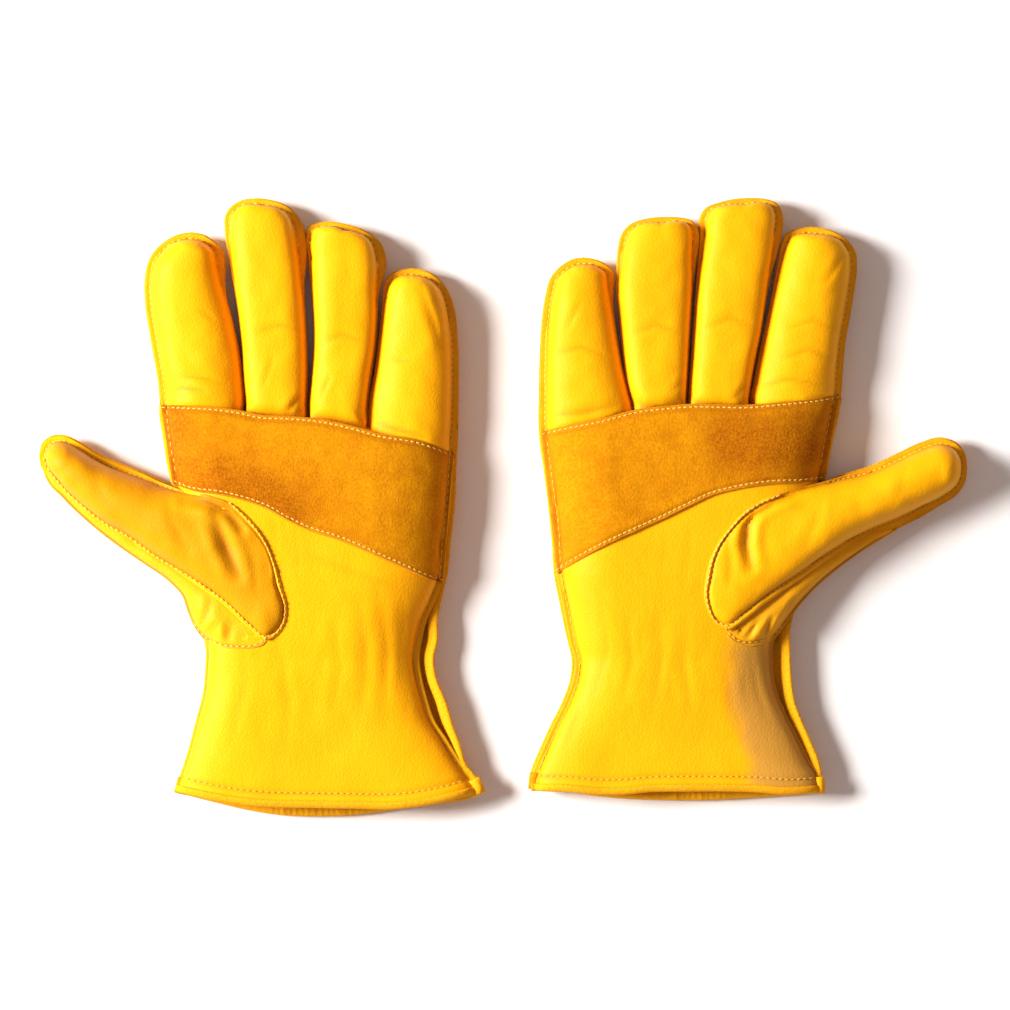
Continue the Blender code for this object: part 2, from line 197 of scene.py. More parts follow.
def beside(line):
    """The level direction to the left of a line, at each of its points."""
    ahead = np.gradient(line[:, :2], axis=0)
    ahead /= np.linalg.norm(ahead, axis=1)[:, None]
    return np.stack([-ahead[:, 1], ahead[:, 0]], axis=1)


def shifted(line, reach):
    """The line moved sideways, up the hand where it runs across."""
    even = smooth_line(line, 80)
    return [tuple(point) for point in even[:, :2] + beside(even) * reach]


# ---------------------------------------------------------------- meshes

def grid_mesh(x, y, z, facing, **masks):
    """A bmesh grid through the given points in millimetres, its faces turned up or down."""
    rows, columns = x.shape
    bm = bmesh.new()
    bmesh.ops.create_grid(bm, x_segments=columns - 1, y_segments=rows - 1, size=1.0)
    bm.verts.ensure_lookup_table()
    for vert, point in zip(bm.verts, np.stack([x, y, z], axis=-1).reshape(-1, 3) * MM):
        vert.co = point
    for name, values in masks.items():
        layer = bm.verts.layers.float.new(name)
        for vert, value in zip(bm.verts, values.reshape(-1)):
            vert[layer] = value
    bmesh.ops.remove_doubles(bm, verts=bm.verts, dist=1e-5)
    bmesh.ops.dissolve_degenerate(bm, dist=1e-6, edges=bm.edges)
    bm.normal_update()
    if sum(face.normal.z * face.calc_area() for face in bm.faces) * facing < 0:
        bmesh.ops.reverse_faces(bm, faces=bm.faces)
    for face in bm.faces:
        face.smooth = True
    return bm


def as_piece(bm, name, materials, wall=0.0):
    """The bmesh as an object, with a wall of the given thickness inside its surface."""
    mesh = bpy.data.meshes.new(name)
    bm.to_mesh(mesh)
    bm.free()
    piece = bpy.data.objects.new(name, mesh)
    bpy.context.scene.collection.objects.link(piece)
    for material in materials:
        mesh.materials.append(material)
    if wall:
        shell = piece.modifiers.new("wall", "SOLIDIFY")
        shell.thickness = wall * MM
        shell.offset = -1
        shell.material_offset = 1
        shell.material_offset_rim = 2
    return piece


def cut_at(bm, place, normal, keep_far):
    """The part of a copy of the bmesh on one side of a plane, its cut edge marked sharp."""
    part = bm.copy()
    geometry = part.verts[:] + part.edges[:] + part.faces[:]
    bmesh.ops.bisect_plane(part, geom=geometry, dist=1e-7, plane_co=place, plane_no=normal,
                           clear_inner=keep_far, clear_outer=not keep_far)
    for edge in part.edges:
        if all(abs((vert.co - place).dot(normal)) < 1e-6 for vert in edge.verts):
            edge.smooth = False
    return part


def disc_points(side_a, side_b, columns, rows, base_share, tip_share):
    """Points of a panel inside a closed edge, in rows from the edge in to its spine.

    Both sides run from the middle of the base to the middle of the tip, as x, y, z and seam width.
    """
    one = smooth_line(side_a, columns + 1)
    two = smooth_line(side_b, columns + 1)
    middle = (one + two) / 2
    ring = np.vstack([one, two[::-1][1:]])
    ring[:, 3] *= SEAM_SHARE
    places = np.linspace(0, 1, columns + 1)
    held = np.clip(np.concatenate([places, places[::-1][1:]]), base_share, 1 - tip_share)
    spine = np.stack([np.interp(held, places, middle[:, axis]) for axis in (0, 1)], axis=1)
    t = np.linspace(0, 1, rows + 1)[:, None] ** 1.4
    x, y = (ring[None, :, axis] * (1 - t) + spine[None, :, axis] * t for axis in (0, 1))
    reach = np.linalg.norm(ring[:, :2] - spine, axis=1)
    points = {"x": x, "y": y, "inward": t * reach, "ring": ring, "spine": spine}
    for name, values in (("edge", ring[:, 2]), ("seam", ring[:, 3]), ("share", held), ("reach", reach)):
        points[name] = np.broadcast_to(values[None, :], x.shape)
    return points


def seam_line(points, start, end, shift):
    """A line beside a panel's seam groove, between two places on its edge.

    0 is the middle of the base, 1 the middle of the tip and 2 the base again; shift is inward of the groove.
    """
    ring, spine = points["ring"], points["spine"]
    at = np.linspace(0, 2, len(ring))
    ahead = spine - ring[:, :2]
    ahead /= np.linalg.norm(ahead, axis=1)[:, None]
    line = ring[:, :2] + ahead * (ring[:, 3] + shift)[:, None]
    places = np.linspace(start, end, 60)
    return [(np.interp(place, at, line[:, 0]), np.interp(place, at, line[:, 1])) for place in places]


def disc_heights(points, crown, power, groove):
    """Heights of a panel that lies flat in its seam and is puffed inside it, and where its groove is."""
    seam, inward = points["seam"], points["inward"]
    inside = np.clip((inward - seam) / np.maximum(points["reach"] - seam, 0.5), 0, 1)
    z = points["edge"] + (crown - points["edge"]) * dome(inside, power)
    line = ridge(inward - seam, GROOVE_WIDTH)
    return z - groove * line * full_seam(points), line


def full_seam(points):
    """1 where a panel's flat seam is wide, less where it is hidden."""
    return np.clip(points["seam"] / 2, 0, 1)


def inside_seam(points, reach):
    """0 in a panel's flat seam, 1 from the given distance inside it."""
    return soft_step(points["inward"], points["seam"], points["seam"] + reach)


def edge_wear(points):
    """1 at a panel's cut edge, 0 inside."""
    return ridge(points["inward"], CUT_WEAR)


# ---------------------------------------------------------------- materials


class Nodes:
    """A short way to add and join shader nodes in one tree."""

    def __init__(self, tree):
        self.tree = tree

    def add(self, kind, inputs=None, **settings):
        node = self.tree.nodes.new("ShaderNode" + kind)
        for key, value in settings.items():
            setattr(node, key, value)
        for key, value in (inputs or {}).items():
            socket = node.inputs[key]
            if isinstance(value, bpy.types.NodeSocket):
                self.tree.links.new(value, socket)
            else:
                socket.default_value = value
        return node

    def place(self):
        return self.add("TexCoord").outputs["Object"]

    def attribute(self, name):
        return self.add("Attribute", attribute_name=name).outputs["Fac"]

    def math(self, operation, first, second=0.0, clamp=False):
        return self.add("Math", {0: first, 1: second}, operation=operation, use_clamp=clamp).outputs[0]

    def times(self, first, second, clamp=False):
        return self.math("MULTIPLY", first, second, clamp)

    def total(self, *parts):
        """The sum of the values, each times its weight."""
        whole = self.times(*parts[0])
        for part in parts[1:]:
            whole = self.math("ADD", whole, self.times(*part))
        return whole

    def mix(self, share, first, second):
        return self.add("Mix", {0: share, 6: first, 7: second}, data_type="RGBA").outputs[2]

    def noise(self, vector, scale, detail=3.0, rough=0.55):
        return self.add("TexNoise", {"Vector": vector, "Scale": scale, "Detail": detail,
                                     "Roughness": rough}).outputs[0]

    def drawn_out(self, vector, turn, stretch):
        """Places turned by an angle and stretched, for a noise that runs one way."""
        return self.add("Mapping", {"Vector": vector, "Rotation": (0.0, 0.0, turn),
                                    "Scale": stretch}).outputs[0]

    def ramp(self, value, low, high):
        return self.add("MapRange", {0: value, 1: low, 2: high, 3: 0.0, 4: 1.0},
                        interpolation_type="SMOOTHSTEP").outputs[0]


def node_group(name, inputs, outputs, build):
    """A shader node group whose named outputs come from build(nodes, inputs)."""
    tree = bpy.data.node_groups.new(name, "ShaderNodeTree")
    for label, value in inputs.items():
        kind = "NodeSocketColor" if isinstance(value, tuple) else "NodeSocketFloat"
        tree.interface.new_socket(label, in_out="INPUT", socket_type=kind).default_value = value
    for label in outputs:
        kind = "NodeSocketColor" if label == "Color" else "NodeSocketFloat"
        tree.interface.new_socket(label, in_out="OUTPUT", socket_type=kind)
    entry = tree.nodes.new("NodeGroupInput")
    leave = tree.nodes.new("NodeGroupOutput")
    made = build(Nodes(tree), {label: entry.outputs[label] for label in inputs})
    for label, socket in made.items():
        tree.links.new(socket, leave.inputs[label])
    return tree


def hide_grain(nodes, given):
    """Pebbled grain with fine pores and long stretch lines."""
    place = nodes.place()
    bend = nodes.add("VectorMath", {0: nodes.noise(place, 160.0, 2.0), 3: 0.0035},
                     operation="SCALE").outputs[0]
    moved = nodes.add("VectorMath", {0: place, 1: bend}, operation="ADD").outputs[0]
    pebble = nodes.add("TexVoronoi", {"Vector": moved, "Scale": given["Pebbles per metre"]},
                       feature="DISTANCE_TO_EDGE").outputs["Distance"]
    domes = nodes.ramp(pebble, 0.0, 0.22)
    pores = nodes.noise(place, 2600.0, 2.0)
    drawn = nodes.noise(nodes.drawn_out(place, 0.5, (1.0, 0.3, 1.0)), 420.0, 4.0)
    loose = nodes.noise(place, 90.0, 3.0)
    height = nodes.total((domes, 0.35), (pores, 0.22), (drawn, 0.5), (loose, 0.5))
    return {"Height": height, "Cells": domes, "Blotch": loose}


def dye_and_hollow_shade(nodes, given):
    """Dye that clouds slowly over the hide and rubs off on edges, with painted shade in folds and seam
    grooves.
    """
    place = nodes.place()
    cloud = nodes.ramp(nodes.noise(place, 36.0, 3.0), 0.35, 0.7)
    fine = nodes.ramp(nodes.noise(place, 800.0, 4.0, 0.7), 0.3, 0.75)
    colour = nodes.mix(nodes.times(cloud, given["Clouding"]), given["Dye"], given["Deep dye"])
    colour = nodes.mix(nodes.times(fine, given["Mottle"]), colour, given["Deep dye"])
    # Painted shade: each mesh's hollow mask darkens its folds, seam grooves and hem ticks towards a dark
    # colour.
    folds = nodes.times(nodes.attribute("crease"), given["Hollow shade strength"], clamp=True)
    colour = nodes.mix(folds, colour, given["Hollow shade colour"])
    broken = nodes.ramp(nodes.noise(place, 900.0, 3.0), 0.25, 0.6)
    worn = nodes.times(nodes.times(nodes.attribute("edge"), broken), given["Edge browning"], clamp=True)
    return {"Color": nodes.mix(worn, colour, given["Edge colour"])}


def fibre_nap(nodes, given):
    """Short brushed fibres, with streaks where the nap lies the other way."""
    place = nodes.place()
    fibres = nodes.noise(nodes.drawn_out(place, 0.9, (1.0, 0.35, 1.0)), 2400.0, 3.0, 0.7)
    tufts = nodes.noise(place, 1000.0, 4.0, 0.7)
    lying = nodes.drawn_out(place, -0.35, (0.45, 1.0, 1.0))
    brushed = nodes.noise(lying, given["Streaks per metre"], 4.0, 0.6)
    return {"Height": nodes.total((fibres, 0.5), (tufts, 1.0)), "Tufts": tufts, "Brushed": brushed}


GRAIN = node_group("hide_grain", {"Pebbles per metre": 620.0}, ("Height", "Cells", "Blotch"), hide_grain)
# The dye group also paints shade into folds, seam grooves and hem ticks, with its own colour and strength.
DYE_AND_SHADE = node_group("dye_and_hollow_shade", {
    "Dye": (0.9, 0.5, 0.02, 1.0), "Deep dye": (0.8, 0.36, 0.01, 1.0), "Clouding": 0.5, "Mottle": 0.3,
    "Hollow shade colour": (0.25, 0.06, 0.0, 1.0), "Hollow shade strength": 0.8,
    "Edge colour": (0.35, 0.15, 0.03, 1.0), "Edge browning": 0.3}, ("Color",), dye_and_hollow_shade)
NAP = node_group("fibre_nap", {"Streaks per metre": 60.0}, ("Height", "Tufts", "Brushed"), fibre_nap)


def new_material(name):
    material = bpy.data.materials.new(name)
    material.use_nodes = True
    nodes = Nodes(material.node_tree)
    return material, nodes, material.node_tree.nodes["Principled BSDF"]


def use_group(nodes, group, values):
    node = nodes.add("Group", node_tree=group)
    for key, value in values.items():
        node.inputs[key].default_value = value
    return node


def join_surface(nodes, shader, colour, rough, height, strength, distance=GRAIN_DEPTH):
    """Colour, roughness and bump joined to the shader; rough is a value, its share and the least."""
    value, share, least = rough
    nodes.tree.links.new(colour, shader.inputs["Base Color"])
    nodes.tree.links.new(nodes.math("ADD", nodes.times(value, share), least), shader.inputs["Roughness"])
    bump = nodes.add("Bump", {"Strength": strength, "Distance": distance, "Height": height})
    nodes.tree.links.new(bump.outputs[0], shader.inputs["Normal"])


def grain_leather(name, dye, deep, clouding=0.5, mottle=0.3, tan=0.0, lip=None):
    """Full-grain cowhide, dyed through, with a soft polish on the pebbles."""
    material, nodes, shader = new_material(name)
    grain = use_group(nodes, GRAIN, {})
    dyed = use_group(nodes, DYE_AND_SHADE, {"Dye": dye, "Deep dye": deep, "Clouding": clouding, "Mottle": mottle})
    valleys = nodes.math("SUBTRACT", 1.0, grain.outputs["Cells"])
    colour = nodes.mix(nodes.times(valleys, 0.22), dyed.outputs["Color"], deep)
    # Painted shade in a duller tan where the right cuff falls away from the light, and a faint tan on the
    # thumb lobes.
    if tan:
        colour = nodes.mix(nodes.times(nodes.attribute("stain"), tan), colour, TAN_SHADE)
    # The painted shade undone: the lip mask brings back the plain yellow where a shaded thumb's flange faces
    # the light.
    if lip:
        colour = nodes.mix(nodes.attribute("lip"), colour, lip)
    join_surface(nodes, shader, colour, (grain.outputs["Blotch"], 0.22, 0.40), grain.outputs["Height"], 0.22)
    shader.inputs["Specular IOR Level"].default_value = 0.10
    return material


def suede_leather(name, dye, deep, stain, streaks):
    """Split leather with the nap up, shaded where it is brushed the other way."""
    material, nodes, shader = new_material(name)
    nap = use_group(nodes, NAP, {"Streaks per metre": streaks})
    # The stain colour also colours the patch's painted shade in its folds and grooves.
    dyed = use_group(nodes, DYE_AND_SHADE, {"Dye": dye, "Deep dye": deep, "Clouding": 0.3, "Mottle": 0.9,
                                  "Hollow shade colour": stain, "Edge browning": 0.8})
    shade = nodes.ramp(nap.outputs["Brushed"], 0.42, 0.72)
    colour = nodes.mix(nodes.times(shade, 0.55), dyed.outputs["Color"], deep)
    spots = nodes.ramp(nap.outputs["Tufts"], 0.3, 0.75)
    patchy = nodes.math("ADD", nodes.times(spots, 0.6), 0.3)
    colour = nodes.mix(nodes.times(nodes.attribute("stain"), patchy), colour, stain)
    join_surface(nodes, shader, colour, (nap.outputs["Tufts"], 0.15, 0.8), nap.outputs["Height"], 0.6)
    shader.inputs["Specular IOR Level"].default_value = 0.05
    shader.inputs["Sheen Weight"].default_value = 0.04
    shader.inputs["Sheen Roughness"].default_value = 0.5
    shader.inputs["Sheen Tint"].default_value = (1.0, 0.6, 0.1, 1.0)
    return material


def fibrous(name, light, dark, scale):
    """A cut edge or a flesh side: pale fibres with darker ones between."""
    material, nodes, shader = new_material(name)
    strands = nodes.noise(nodes.place(), scale, 4.0, 0.7)
    colour = nodes.mix(nodes.ramp(strands, 0.3, 0.7), light, dark)
    join_surface(nodes, shader, colour, (strands, 0.12, 0.82), strands, 0.8)
    shader.inputs["Specular IOR Level"].default_value = 0.12
    return material


def thread(name, light, dark):
    """Twisted thread: two plies wound round each other."""
    material, nodes, shader = new_material(name)
    place = nodes.place()
    ply = nodes.add("TexWave", {"Vector": place, "Scale": 900.0, "Distortion": 1.5},
                    bands_direction="DIAGONAL").outputs["Fac"]
    fuzz = nodes.noise(place, 3000.0, 2.0)
    colour = nodes.mix(nodes.times(ply, 0.6), light, dark)
    join_surface(nodes, shader, colour, (fuzz, 0.2, 0.5), nodes.math("ADD", ply, fuzz), 0.5, THREAD_DEPTH)
    return material


YELLOW_DYE = (0.90, 0.42, 0.0015, 1)
YELLOW = grain_leather("yellow_leather", YELLOW_DYE, (0.86, 0.34, 0.001, 1), 0.35, 0.15, tan=0.8)
# The left thumb's front: the yellow leather darkened with painted shade, as it turns away from the light; the
# lip mask keeps the plain yellow on its flange.
SHADED_THUMB = grain_leather("shaded_thumb_leather", (0.66, 0.29, 0.0015, 1), (0.60, 0.23, 0.001, 1), 0.4, 0.25,
                      lip=YELLOW_DYE)
BACK = grain_leather("back_leather", YELLOW_DYE, (0.84, 0.33, 0.001, 1), 0.5, 0.3, 0.8)
PATCH = suede_leather("orange_suede", (0.66, 0.27, 0.002, 1), (0.50, 0.165, 0.001, 1),
                      (0.27, 0.045, 0.001, 1), 150.0)
FLESH = fibrous("flesh_side", (0.88, 0.41, 0.006, 1), (0.80, 0.34, 0.004, 1), 900.0)
CUT_EDGE = fibrous("cut_edge", (0.88, 0.43, 0.01, 1), (0.66, 0.26, 0.005, 1), 1800.0)
CREAM_THREAD = thread("cream_thread", (0.92, 0.60, 0.10, 1), (0.66, 0.36, 0.02, 1))
YELLOW_THREAD = thread("yellow_thread", (0.88, 0.50, 0.04, 1), (0.52, 0.22, 0.01, 1))
ELASTIC = fibrous("woven_elastic", (0.85, 0.82, 0.72, 1), (0.55, 0.50, 0.40, 1), 1400.0)
# The outer face, the inner face and the cut edge of each leather.
GRAIN_FINISH, BACK_FINISH, SHADED_THUMB_FINISH, PATCH_FINISH = (
    [face, FLESH, CUT_EDGE] for face in (YELLOW, BACK, SHADED_THUMB, PATCH))


# ---------------------------------------------------------------- joints

def joint_frame(name):
    """A joint's place, and the level direction that points from its parent to its child."""
    joint = JOINTS[name]
    place = Vector(joint["pos_m"])
    along = Vector((0, 0, 1)).cross(Vector(joint["axis"])).normalized()
    return joint["parent"], joint["child"], place, along


def bend_with(piece):
    """The piece's transform baked into its mesh."""
    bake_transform(piece)


def crease_joints(glove, finger):
    """The names of a finger's two joints, from the hand outwards."""
    return f"{glove}_{finger}_base_bend", f"{glove}_{finger}_knuckle_bend"


def split_place(glove, finger):
    """The level plane half way between a finger's two creases."""
    base, knuckle = (joint_frame(name) for name in crease_joints(glove, finger))
    return (base[2] + knuckle[2]) / 2, (base[3] + knuckle[3]).normalized()


def jointed_pair(bm, glove, finger, endings, finish, nodes):
    """The bmesh cut into a lower piece and a tip piece, half way between the finger's two creases."""
    place, along = split_place(glove, finger)
    for index, joint in enumerate(crease_joints(glove, finger)):
        part = cut_at(bm, place, along, keep_far=bool(index))
        piece = as_piece(part, f"{glove}_{finger}_{endings[index]}", finish, LEATHER)
        bend_with(piece)
        if index < len(nodes):
            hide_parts(f"{glove}_{finger}_{nodes[index]}")
    bm.free()


def palm_and_back_pairs(front, back, glove, finger, front_finish):
    """A finger's palm side and back side, each as a lower piece and a tip piece."""
    jointed_pair(front, glove, finger, ("lower_palm_side", "tip_palm_side"), front_finish,
                 ("lower_front", "tip_front"))
    jointed_pair(back, glove, finger, ("lower_back_side", "tip_back_side"), BACK_FINISH,
                 ("lower_back", "tip_back"))


# ---------------------------------------------------------------- stitches

def surface_of(*meshes):
    return [BVHTree.FromBMesh(bm) for bm in meshes]


def settle(trees, x, y, facing):
    """The outermost leather at a point, seen from above or below, and its slope."""
    best, slope = None, Vector((0, 0, facing))
    for tree in trees:
        hit, normal, _, _ = tree.ray_cast(Vector((x * MM, y * MM, 0.08 * facing)), Vector((0, 0, -facing)))
        if hit is not None and (best is None or hit.z * facing > best.z * facing):
            best, slope = hit, normal if normal.z * facing > 0 else -normal
    return best, slope


def stitch_places(line, trees, pitch, facing=1):
    """Places and directions of a row of stitches on the leather, an even pitch apart."""
    run = np.linalg.norm(np.diff(np.array(line)[:, :2], axis=0), axis=1).sum()
    count = max(2, int(run / pitch))
    even = smooth_line(line, 2 * count + 1)
    made = []
    for index in range(count):
        x, y = even[2 * index + 1][:2]
        hit, slope = settle(trees, x, y, facing)
        if hit is None:
            continue
        ahead = Vector((*(even[2 * index + 2][:2] - even[2 * index][:2]), 0)).normalized()
        ahead = (ahead - slope * ahead.dot(slope)).normalized()
        made.append((hit + slope * THREAD_LIFT * MM, ahead, slope))
    return made


def stitch_mesh(places, length):
    """One bmesh with a small spindle of thread at each place."""
    bm = bmesh.new()
    size = Matrix.Diagonal((length * MM / 2, THREAD_WIDTH * MM / 2, THREAD_WIDTH * MM / 2, 1))
    lying = Matrix.Rotation(math.pi / 2, 4, "Y")
    for index, (place, ahead, slope) in enumerate(places):
        turn = STITCH_TURN * math.sin(index * 2.4)
        ahead = (ahead + slope.cross(ahead).normalized() * turn).normalized()
        side = slope.cross(ahead).normalized()
        spin = Matrix((ahead, side, slope)).transposed().to_4x4()
        bmesh.ops.create_uvsphere(bm, u_segments=6, v_segments=4, radius=1,
                                  matrix=Matrix.Translation(place) @ spin @ size @ lying)
    for face in bm.faces:
        face.smooth = True
    return bm


def hand_stitches(name, line, trees, glove, material, gauge, facing=1):
    """A row of stitches that stays with the hand; a gauge is the stitches' pitch and length."""
    pitch, length = gauge
    piece = as_piece(stitch_mesh(stitch_places(line, trees, pitch, facing), length), name, [material])
    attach(piece, f"{glove} hand")


def finger_stitches(name, line, trees, glove, finger, gauge):
    """A row of stitches on a finger, in two pieces split half way between its two creases."""
    pitch, length = gauge
    place, along = split_place(glove, finger)
    places = stitch_places(line, trees, pitch)
    for index, (part, joint) in enumerate(zip(("lower", "tip"), crease_joints(glove, finger))):
        chosen = [spot for spot in places if ((spot[0] - place).dot(along) > 0) == bool(index)]
        if chosen:
            piece = as_piece(stitch_mesh(chosen, length), f"{name}_{part}", [CREAM_THREAD])
            bend_with(piece)


# ---------------------------------------------------------------- fingers

def at_height(points, z):
    return [(x, y, z, seam) for x, y, seam in points]


def spread(side, other):
    """The side with its seam edge moved out where the seam is wide, as the back leather's edge is."""
    line = np.array(side, float)
    out = beside(line)
    middle = np.array(other, float)[:, :2].mean(axis=0)
    out *= np.sign(((line[:, :2] - middle) * out).sum(axis=1))[:, None]
    wide = np.clip((line[:, 2] - 1.0) / 2, 0, 1)[:, None] * BACK_MARGIN
    return [(*point, seam) for point, seam in zip(line[:, :2] + out * wide, line[:, 2])]


def finger_front(data, cover, height):
    """The palm side of a finger: flat in its seam, puffed inside it, with soft folds."""
    points = disc_points(at_height(data["left"], FRONT_EDGE), at_height(data["right"], FRONT_EDGE), 84, 18,
                         0.20, 0.16)
    x, y, seed = points["x"], points["y"], data["seed"]
    crown = FINGER_TOP - 2.2 * soft_step(points["share"], 0.72, 1.0)
    z, line = disc_heights(points, crown, data.get("power", 2.3), GROOVE_DEPTH)
    inside = inside_seam(points, 4)
    depth, dark = folded(x, y, data["folds"])
    z = z - 0.5 * depth * inside
    z = z + inside * (0.55 * swell(x, y, 17, seed) + 0.22 * swell(x, y, 6.5, seed + 9))
    z = z + 0.25 * swell(x, y, 3.2, seed + 4) * (1 - inside) * np.clip(points["seam"] / 3, 0, 1)
    under = line_height(cover, x) - y
    flow = soft_step(under, -3.5 if data.get("tucked") else -15.0, 0.0)
    z = z + (np.minimum(z, height(x, y) + 0.1) - z) * flow - 2.6 * soft_step(under, -0.3, 1.6)
    # Painted shade in the folds and in the seam's stitch groove.
    crease = np.maximum(dark * inside, 0.5 * line * full_seam(points))
    return grid_mesh(x, y, z, 1, crease=crease, edge=edge_wear(points)), points


def finger_back(data):
    """The back of a finger: a shallow tray that rests on its flat middle."""
    left, right = spread(data["left"], data["right"]), spread(data["right"], data["left"])
    points = disc_points(at_height(left, BACK_EDGE), at_height(right, BACK_EDGE), 60, 12, 0.20, 0.16)
    x, y = points["x"], points["y"]
    floor = 0.1 + 1.5 * soft_step(data["base"] - y, -2.0, 6.0)
    z, line = disc_heights(points, floor, 2.6, BACK_GROOVE)
    z = z + inside_seam(points, 5) * 0.35 * (1 + swell(x, y, 12, data["seed"] + 30)) * 0.6
    # Painted shade in the seam's stitch groove.
    return grid_mesh(x, y, z, -1, crease=0.6 * line * full_seam(points), edge=edge_wear(points))


def build_finger(glove, finger, data, cover, height):
    front, points = finger_front(data, cover, height)
    finger_stitches(f"{glove}_{finger}_seam_thread", seam_line(points, *data["sewn"], -0.35),
                    surface_of(front), glove, finger, FINGER_GAUGE)
    palm_and_back_pairs(front, finger_back(data), glove, finger, GRAIN_FINISH)


# ---------------------------------------------------------------- the hand

def line_height(line, x):
    """How far up the hand a line that runs across it is at each x."""
    even = smooth_line(line, 60)
    order = np.argsort(even[:, 0])
    return np.interp(x, even[order, 0], even[order, 1])


def hand_profile(data):
    """Over one hand: the distances to its side edges and side seams, and the height of its leather."""
    lines = [smooth_line(data[f"{side}_side"], 160) for side in SIDES]
    lines = [line[np.argsort(line[:, 1])] for line in lines]

    def side_gaps(x, y):
        edges = [inward * (x - np.interp(y, line[:, 1], line[:, 0])) for inward, line in zip((1, -1), lines)]
        widths = [np.interp(y, *np.array(data[f"{side}_seam"], float).T) for side in SIDES]
        seams = [gap - width for gap, width in zip(edges, widths)]
        return edges, seams

    def height(x, y):
        top = np.interp(y, *np.array(data["tops"], float).T)
        rise = np.ones_like(x)
        for side, gap in zip(SIDES, side_gaps(x, y)[1]):
            rise = rise * dome(gap / data[f"{side}_shoulder"], 2.1)
        return FRONT_EDGE + (top - FRONT_EDGE) * rise

    return side_gaps, height


def palm_relief(data, x, y):
    """Folds, wrist gathers and soft swelling of the palm leather, and where painted shade darkens its folds.
    """
    depth, dark = folded(x, y, data["folds"])
    seed = data["seed"]
    wrist = ridge(y + 64, 26)
    wave = np.sin(2 * np.pi * (x / data["gather"] + 0.5 * swell(x, y, 40, seed)))
    z = -PALM_FOLDS * depth + wrist * 0.05 * wave * (0.6 + 0.5 * swell(x, y, 30, seed + 3))
    z = z + 0.8 * swell(x, y, 40, seed + 5) + 0.22 * swell(x, y, 12, seed + 6)
    z = z + 0.10 * swell(x * 1.8, y * 0.5, 6.0, seed + 8) * wrist
    z = z + 0.04 * swell(x, y, 3.0, seed + 7)
    return z, 0.3 * dark


def hand_grid(left, right, hem, rows, columns, crowding, hem_fade):
    """Points between two side lines that crowd towards them, the lowest rows drawn onto the hem line."""
    u = np.linspace(0, 1, columns + 1)
    u = (u - crowding * np.sin(2 * np.pi * u))[None, :]
    x, y = (left[:, None, axis] * (1 - u) + right[:, None, axis] * u for axis in (0, 1))
    hem = smooth_line(hem, 60)
    low = np.interp(x[0], hem[:, 0], hem[:, 1])[None, :]
    fade = (np.clip(1 - np.arange(rows + 1) / rows * hem_fade, 0, 1) ** 2)[:, None]
    return x, y + (low - y[0]) * fade, low


def palm_panel(data):
    """The palm leather from under the fingers to the hem, with its thumb hole."""
    side_gaps, height = hand_profile(data)
    rows, columns = 128, 88
    left, right = (smooth_line(data[f"{side}_side"], rows + 1) for side in SIDES)
    x, y, low = hand_grid(left, right, data["hem"], rows, columns, 0.045, 2.2)
    edges, seams = side_gaps(x, y)
    bump, dark = palm_relief(data, x, y)
    gap = np.minimum(*seams)
    inside = soft_step(gap, 0.0, 7.0)
    line = ridge(gap, GROOVE_WIDTH)
    z = height(x, y) + bump * inside - GROOVE_DEPTH * line
    past = y - line_height(data["patch_high"], x)
    lowest = SEAM_HEIGHT - 3.6 * soft_step(gap, 0.0, 8.0)
    z = np.maximum(z - 1.6 * soft_step(past, -6.0, -2.0) - 13.0 * soft_step(past, -1.2, 2.2), lowest)
    over_hem = y - low
    sewn = ridge(over_hem - HEM_STITCH, 0.7)
    z = z - 0.55 * sewn + 0.5 * ridge(over_hem - 1.9, 1.7)
    # Painted shade in the folds, the side seam grooves and the hem's stitch groove.
    masks = {"crease": np.maximum(np.maximum(dark * inside, 0.5 * line), 0.45 * sewn),
             "edge": ridge(np.minimum(*edges), CUT_WEAR)}
    # Painted shade: beyond the tan line the right cuff falls away from the light, painted as a duller tan.
    if "tan_line" in data:
        tan_line = np.array(data["tan_line"], float)
        beyond = x - np.interp(-y, -tan_line[:, 1], tan_line[:, 0]) + 3 * swell(x, y, 9, 4.0)
        masks["stain"] = 0.9 * soft_step(beyond, -3, 7) * soft_step(-y, 48, 62)
    bm = grid_mesh(x, y, z, 1, **masks)
    hole = smooth_line(data["thumb_hole"], 80)
    inside_hole = [face for face in bm.faces if encloses(hole, face.calc_center_median() / MM)]
    bmesh.ops.delete(bm, geom=inside_hole, context="FACES")
    return bm


def encloses(outline, place):
    """Whether a point is inside a closed outline."""
    x, y = place[0], place[1]
    ax, ay = outline[:, 0], outline[:, 1]
    bx, by = np.roll(ax, -1), np.roll(ay, -1)
    crossing = (ay > y) != (by > y)
    at = ax + (y - ay) * (bx - ax) / np.where(by == ay, 1e-9, by - ay)
    return bool(np.count_nonzero(crossing & (x < at)) % 2)


